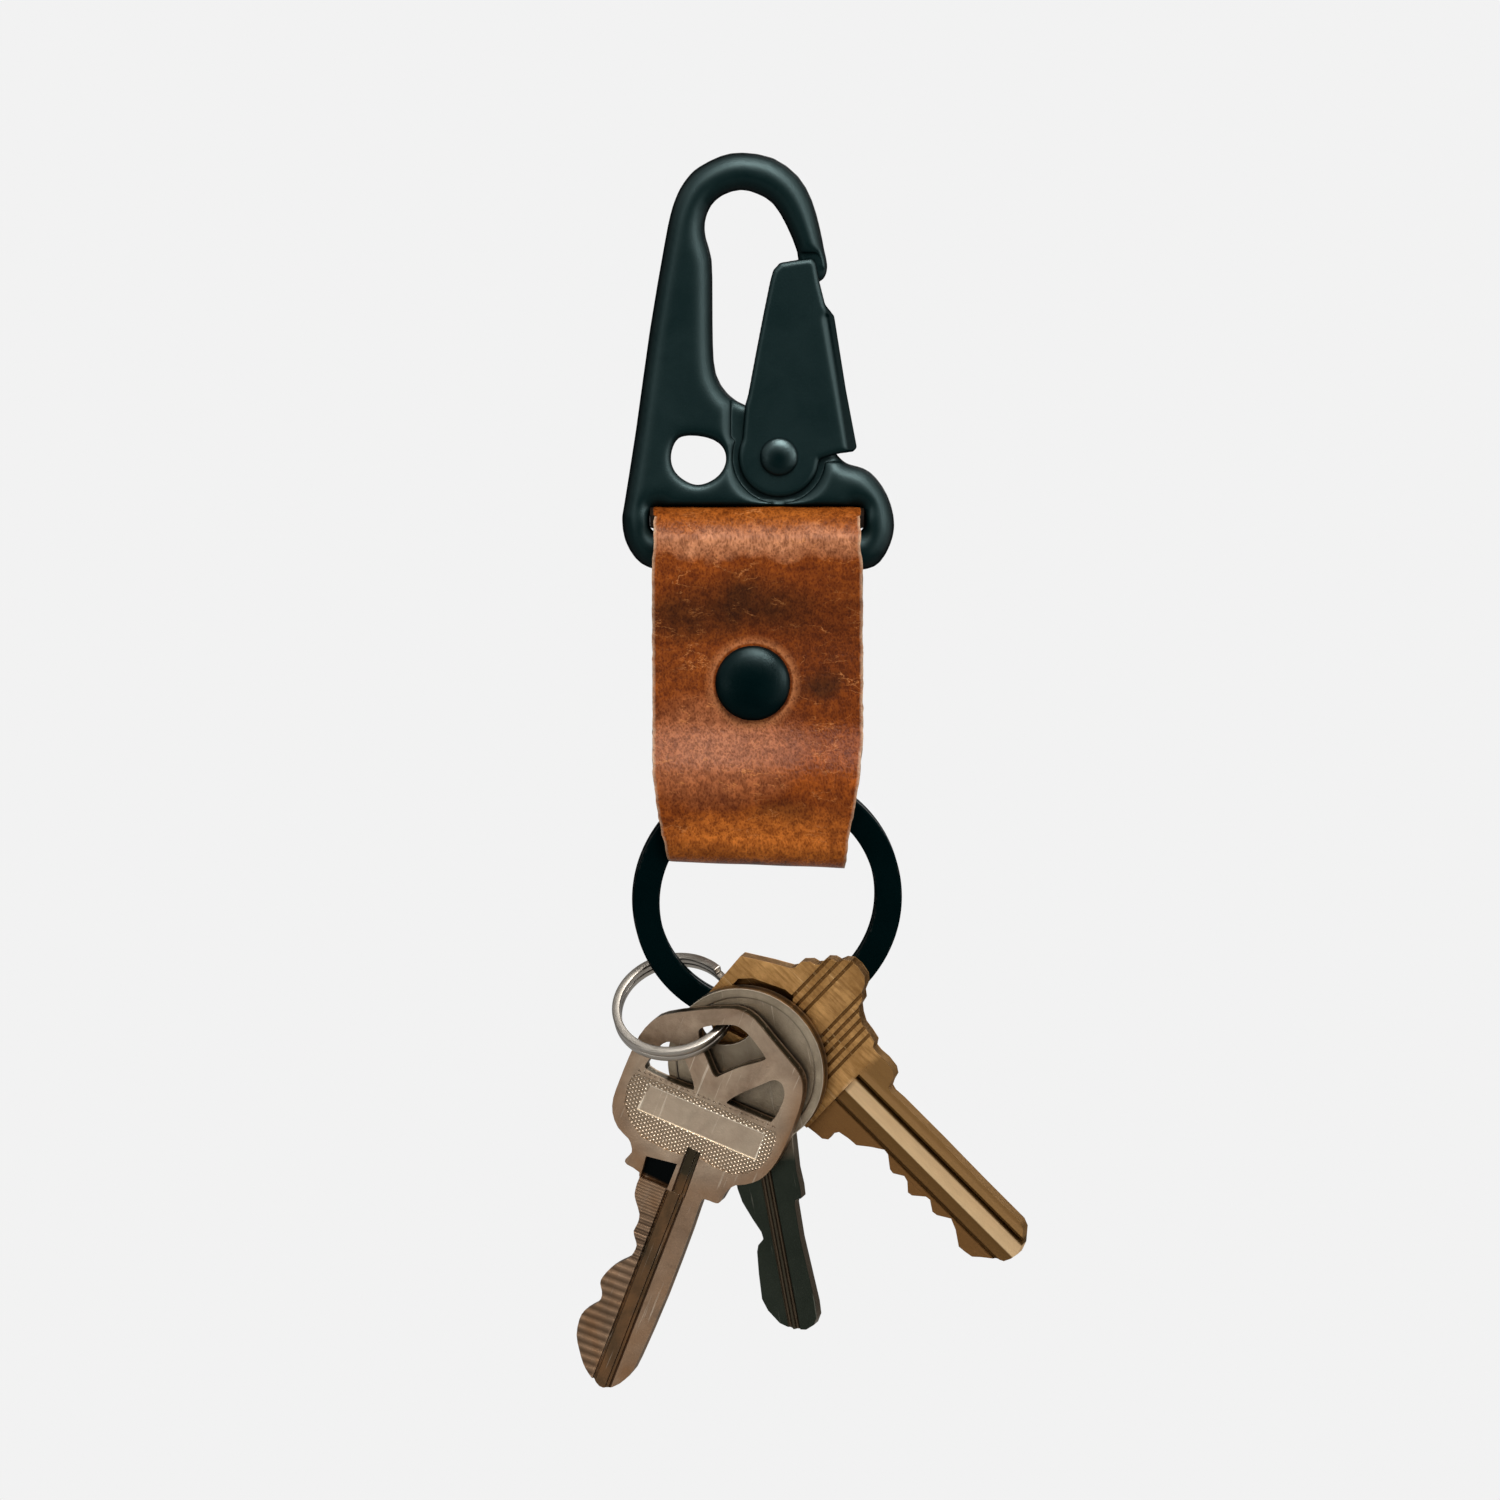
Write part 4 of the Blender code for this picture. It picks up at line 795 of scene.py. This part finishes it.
house = slab(rounded_edge(HOUSE_EDGE, 2), FRONT, -FRONT)
notches = bmesh.new()
for k in range(26):
    left = -8.6 + k * 0.71
    level = -1.45 + k * 0.052
    slab([(left, level), (left + 0.38, level + 0.02), (left + 0.38, level + 0.24), (left, level + 0.22)], FRONT - 0.5,
         FRONT + 0.16, notches)
house = carve(
    house, *(slab(rounded_edge(window), *THROUGH) for window in HOUSE_WINDOWS),
    slab(KNURL_FIELD, ABOVE, FRONT + KNURL_DEEP), slab(NAME_PANEL, ABOVE, FRONT + 0.22), notches,
    slab(HOUSE_POCKET, ABOVE, FRONT + 0.75),
    trough([(-8.0, 0.20), (-0.10, 0.20), (-0.04, 0.60), (0.20, 0.60), (0.30, 0.48), (1.66, 0.48), (1.76, 0.64),
            (2.06, 0.64), (2.50, 0.0)], -13.7, -43.0, 0.4),
    trough([(0.45, 0.0), (0.60, 0.52), (1.60, 0.52), (1.70, 0.64), (2.00, 0.64), (2.30, 0.0)], -7.5, -13.8, 0.25))
SILVER = [nickel_silver("nickel_silver", knurled=False), nickel_silver("knurled_nickel_silver", knurled=True)]
finish_key("stamped_house_key", house, 0.16, key_place((-0.0041, -0.1080), -22.0, 2), SILVER, "house_key",
           lambda middle: abs(middle.y - FRONT - KNURL_DEEP) < 0.03 and middle.z > -9.5)


# ---- Round key -------------------------------------------------------------
# A coin-shaped nickel-plated bow with a raised rim, and a dark blued blade with one
# milled line down its face.
ROUND_NECK = (
    (-3.9, -14.9), (-3.6, -16.6), (-2.7, -18.8), (-1.9, -20.5), (-1.8, -21.4), (-2.6, -22.1), (-2.9, -22.9),
    (-3.2, -25.6), (-3.4, -28.8), (-2.9, -30.3), (-1.7, -32.0), (-0.2, -32.9), (1.5, -33.1), (2.6, -32.6),
    (3.2, -31.6), (3.3, -30.0), (2.9, -21.8), (3.0, -17.5), (3.2, -16.9), (4.0, -16.8), (4.1, -15.4), (4.0, -13.2),
)
ROUND_WINDOW = ((-4.6, 6.5), (-2.6, 7.5), (0.0, 7.8), (1.6, 7.3), (2.0, 5.9), (1.4, 4.2), (-0.2, 3.2), (-2.2, 3.0),
                (-4.0, 3.6), (-5.0, 5.0))


def round_points(radius, start, end, steps):
    """Points on an arc between two angles."""
    turns = [math.radians(start + (end - start) * k / steps) for k in range(steps + 1)]
    return [(radius * math.cos(turn), radius * math.sin(turn)) for turn in turns]


def plated_key():
    """Worn nickel plate on the bow, turning blue-black below it, with a bronze line; the bow has a painted shadow
    line inside its rim and is darker toward its middle.
    """
    finish, tree, shader, made = key_metal("plated_key", (0.240, 0.190, 0.130), (0.460, 0.375, 0.265),
                                           (0.090, 0.070, 0.050), (0.80, 0.70, 0.56), 0.31)
    dark = mixed(tree, made["patches"], (0.014, 0.019, 0.014), (0.040, 0.046, 0.034))
    dark = mixed(tree, times(tree, made["scratches"], 0.6), dark, (0.22, 0.21, 0.17))
    line = times(tree, between(tree, made["across"], -0.6, 0.65, 0.1), 0.6)
    dark = mixed(tree, line, dark, (0.080, 0.062, 0.040))
    dark = mixed(tree, between(tree, made["deep"], 0.12, 2.0, 0.06), dark, (0.085, 0.062, 0.040))
    # By distance from the bow's middle: a painted shadow line along the rim's inner edge, and the face darker toward
    # its middle.
    out = put(tree, "ShaderNodeVectorMath", {0: made["plan"]}, operation="LENGTH").outputs["Value"]
    turned = ramp(tree, times(tree, out, 1 / 0.0102), (0.0, 0.55), (0.62, 0.45), (0.80, 0.0), (0.845, 0.0),
                  (0.860, 0.95), (0.885, 0.10), (0.905, 0.0), (0.930, 0.0), (0.975, 0.15), (1.0, 0.60))
    bow = mixed(tree, turned, made["tone"], (0.100, 0.078, 0.054))
    surface(tree, shader, mixed(tree, spread(tree, made["along"], -10.0, -12.0), bow, dark), made["rough"],
            made["height"], 0.00003)
    return finish


coin = slab([*round_points(9.9, -64, 246, 72), *ROUND_NECK], FRONT, -FRONT)
coin = carve(
    coin, slab(rounded_edge(ROUND_WINDOW), *THROUGH),
    slab(round_points(8.75, 0, 356, 89), ABOVE, FRONT + 0.28),
    slab(round_points(8.75, 0, 356, 89), -FRONT - 0.28, -ABOVE),
    trough([(-0.75, 0.0), (-0.55, 0.35), (-0.30, 0.35), (-0.12, 0.05), (0.12, 0.05), (0.30, 0.40), (0.55, 0.40),
            (0.80, 0.0)], -11.0, -40.0))
finish_key("coin_key", coin, 0.18, key_place((0.0007, -0.1051), 10.5, 1), [plated_key()], "round_key")


# ---- Brass key -------------------------------------------------------------
# Milled brass with a shouldered bow, ribs across its neck and a bare panel between them;
# a slanted face painted bright as a highlight and a deep groove run down the blade beside its cuts.
BRASS_RIGHT = (
    (3.5, 23.1), (5.7, 19.9), (7.0, 17.8), (7.6, 17.4), (8.6, 17.4), (9.5, 16.6), (9.7, 15.9), (10.2, 15.5),
    (11.2, 15.5), (11.8, 14.9), (12.0, 14.2), (12.8, 13.9), (13.4, 13.2), (13.5, 12.1), (13.2, 10.7), (12.5, 10.0),
    (11.4, 9.6), (10.8, 8.9), (9.8, 8.7), (9.1, 7.9), (8.5, 6.9), (8.3, 5.6), (8.0, 4.4), (7.3, 4.0), (7.2, 3.2),
    (7.3, 1.9), (7.1, 0.5), (6.6, -0.2), (5.7, -0.4), (5.0, -0.7), (4.8, -1.4), (4.9, -2.8), (4.9, -9.6),
    (4.8, -16.5), (4.8, -23.2), (4.4, -24.1), (2.8, -25.3), (1.5, -25.7), (0.3, -25.5), (-0.6, -25.1), (-1.1, -24.2),
    (-2.3, -22.8), (-3.1, -22.0), (-3.3, -21.0), (-3.4, -20.0), (-2.1, -18.3), (-1.5, -17.0), (-2.5, -15.5),
    (-2.6, -14.8), (-1.7, -13.6), (-1.8, -13.0), (-3.0, -11.7), (-3.1, -11.1), (-2.1, -10.1), (-1.9, -9.4),
    (-2.7, -8.2), (-2.6, -7.6), (-1.4, -6.2), (-1.3, -5.5), (-2.3, -4.1), (-3.5, -2.7), (-3.6, -1.5), (-3.9, -0.1),
    (-4.6, 0.3), (-5.6, 0.2), (-6.1, 0.8), (-6.2, 1.9),
)
BRASS_LEFT = (
    (-6.4, 3.2), (-6.5, 4.2), (-7.2, 5.6), (-7.6, 7.6), (-9.0, 8.4), (-10.6, 9.2), (-12.0, 10.4), (-12.2, 12.4),
    (-11.4, 13.6), (-10.6, 14.6), (-9.2, 15.4), (-8.4, 16.6), (-7.4, 17.0), (-3.9, 22.7),
)
BRASS_WINDOW = ((-0.4, 20.7), (-1.3, 21.0), (-3.0, 20.8), (-3.4, 19.2), (-2.6, 17.4), (-1.0, 16.4), (1.0, 15.8),
                (2.0, 15.6), (2.1, 16.6), (0.4, 19.8))
# A ledge beside the window, sunk but kept solid behind, deep enough that the sunk darkening paints it as the shade
# seen through the slot.
BRASS_SHADE_LEDGE = ((-3.8, 21.2), (-1.2, 21.4), (1.2, 21.4), (2.6, 20.2), (4.6, 16.4), (4.7, 15.2), (3.6, 14.4),
               (0.0, 14.4), (-4.0, 16.0), (-5.0, 18.9))


def milled_brass():
    """Handled brass; down the blade each milled face has its own tone, the slanted face a painted highlight and the
    grooves painted shade.
    """
    finish, tree, shader, made = key_metal("milled_brass", (0.330, 0.165, 0.050), (0.760, 0.430, 0.160),
                                           (0.100, 0.045, 0.013), (0.86, 0.58, 0.28), 0.41, (0.05, 0.26))
    # Painted light and shade across the blade: a painted highlight on the slanted face, painted shade in the two
    # grooves.
    faces = ramp(tree, spread(tree, made["across"], -6.0, 6.0),
                 (0.380, (0.190, 0.092, 0.032)), (0.395, (0.050, 0.024, 0.008)), (0.415, (0.050, 0.024, 0.008)),
                 (0.430, (0.160, 0.082, 0.028)), (0.540, (0.150, 0.078, 0.026)), (0.556, (0.96, 0.68, 0.38)),
                 (0.715, (0.90, 0.62, 0.34)), (0.735, (0.060, 0.030, 0.008)), (0.775, (0.080, 0.040, 0.012)),
                 (0.800, (0.34, 0.19, 0.070)), (0.850, (0.34, 0.19, 0.075)), (0.880, (0.26, 0.14, 0.050)))
    rough_milled = cloud(tree, turned_vector(tree, made["plan"], scale=(1.0, 1.0, 0.15)), 2400.0, 4.0)
    faces = mixed(tree, times(tree, rough_milled, 0.30), faces, (0.20, 0.10, 0.03))
    bow = mixed(tree, ramp(tree, rough_milled, (0.46, 0.0), (0.62, 0.55)), made["tone"], (0.24, 0.115, 0.036))
    surface(tree, shader, mixed(tree, spread(tree, made["along"], 3.4, 2.4), bow, faces), made["rough"],
            scaled(tree, rough_milled, 0.6, made["height"]), 0.00003)
    return finish


brass = slab([*BRASS_RIGHT, *BRASS_LEFT], FRONT, -FRONT)
ribs = bmesh.new()
for level in (15.0, 13.9, 12.7, 9.2, 8.2, 7.2, 6.2, 5.2):
    slab([(-14.0, level), (15.0, level), (15.0, level + 0.42), (-14.0, level + 0.42)], ABOVE, FRONT + 0.24, ribs)
brass = carve(
    brass, slab(rounded_edge(BRASS_WINDOW), *THROUGH), slab(BRASS_SHADE_LEDGE, ABOVE, FRONT + 1.3), ribs,
    trough([(-9.0, 0.34), (-1.30, 0.34), (-1.20, 0.62), (-0.98, 0.62), (-0.86, 0.46), (0.55, 0.46), (2.70, 0.02),
            (2.80, 0.02), (3.00, 0.62), (3.30, 0.62), (3.55, 0.06), (5.60, 0.06)], 3.0, -27.0))
finish_key("shouldered_brass_key", brass, 0.14, key_place((0.0142, -0.1103), 45.0, 0), [milled_brass()], "brass_key")


# ---- Studio ----------------------------------------------------------------
# A plain pale floor and sky; a big soft lamp high in front and weaker ones on the right,
# above, behind and low on the left; and a camera with a long lens straight in front.
FLOOR_Z = -0.36
CAMERA_PLACE = (0.00096, -4.0, -0.06720)
world = bpy.data.worlds.new("pale_studio")
scene.world = world
world.use_nodes = True
tree = world.node_tree
tree.nodes.clear()
light = put(tree, "ShaderNodeLightPath")
seen = maths(tree, "MAXIMUM", light.outputs["Is Camera Ray"], light.outputs["Is Transmission Ray"])
level = scaled(tree, seen, 0.68, 0.32)
sky = put(tree, "ShaderNodeBackground", {"Color": (0.888, 0.888, 0.888, 1.0), "Strength": level})
tree.links.new(sky.outputs[0], put(tree, "ShaderNodeOutputWorld").inputs["Surface"])

ground = bmesh.new()
bmesh.ops.create_circle(ground, cap_ends=True, segments=96, radius=5.5)
bmesh.ops.translate(ground, verts=ground.verts, vec=(0, 0, FLOOR_Z))
mesh = bpy.data.meshes.new("pale_floor")
ground.to_mesh(mesh)
ground.free()
floor = bpy.data.objects.new("pale_floor", mesh)
scene.collection.objects.link(floor)
finish, tree, shader = new_finish("floor_paint", 0.0, 0.0)
shade = cloud(tree, put(tree, "ShaderNodeTexCoord").outputs["Object"], 3.0)
tree.links.new(mixed(tree, shade, (0.34, 0.34, 0.34), (0.36, 0.36, 0.36)), shader.inputs["Base Color"])
shader.inputs["Roughness"].default_value = 0.9
shader.inputs["Emission Color"].default_value = (1.0, 1.0, 1.0, 1.0)
path = put(tree, "ShaderNodeLightPath")
glow = scaled(tree, path.outputs["Is Camera Ray"], 0.68, times(tree, path.outputs["Is Glossy Ray"], 0.19))
tree.links.new(glow, shader.inputs["Emission Strength"])
mesh.materials.append(finish)

middle = Vector((0.0, 0.0, -0.07))
for name, place, size, power in (
    ("key_lamp", (0.22, -0.95, 0.80), 0.60, 12.0), ("side_lamp", (1.00, -0.70, 0.20), 0.45, 3.5),
    ("top_lamp", (0.06, -0.62, 1.00), 0.60, 7.0), ("back_lamp", (0.35, 1.10, 0.45), 0.70, 4.0),
    ("fill_lamp", (-0.82, -0.92, -0.52), 0.85, 8.5),
):
    lamp = bpy.data.lights.new(name, "AREA")
    lamp.size, lamp.energy = size, power
    holder = bpy.data.objects.new(name, lamp)
    holder.location = place
    holder.rotation_euler = (middle - Vector(place)).to_track_quat("-Z", "Y").to_euler()
    scene.collection.objects.link(holder)

camera = bpy.data.cameras.new("camera")
camera.lens, camera.sensor_width = 800.0, 36.0
camera.clip_start, camera.clip_end = 0.1, 60.0
holder = bpy.data.objects.new("camera", camera)
holder.location = CAMERA_PLACE
holder.rotation_euler = (math.radians(90), 0.0, 0.0)
scene.collection.objects.link(holder)
scene.camera = holder
scene.view_settings.view_transform = "Standard"

bpy.context.view_layer.update()
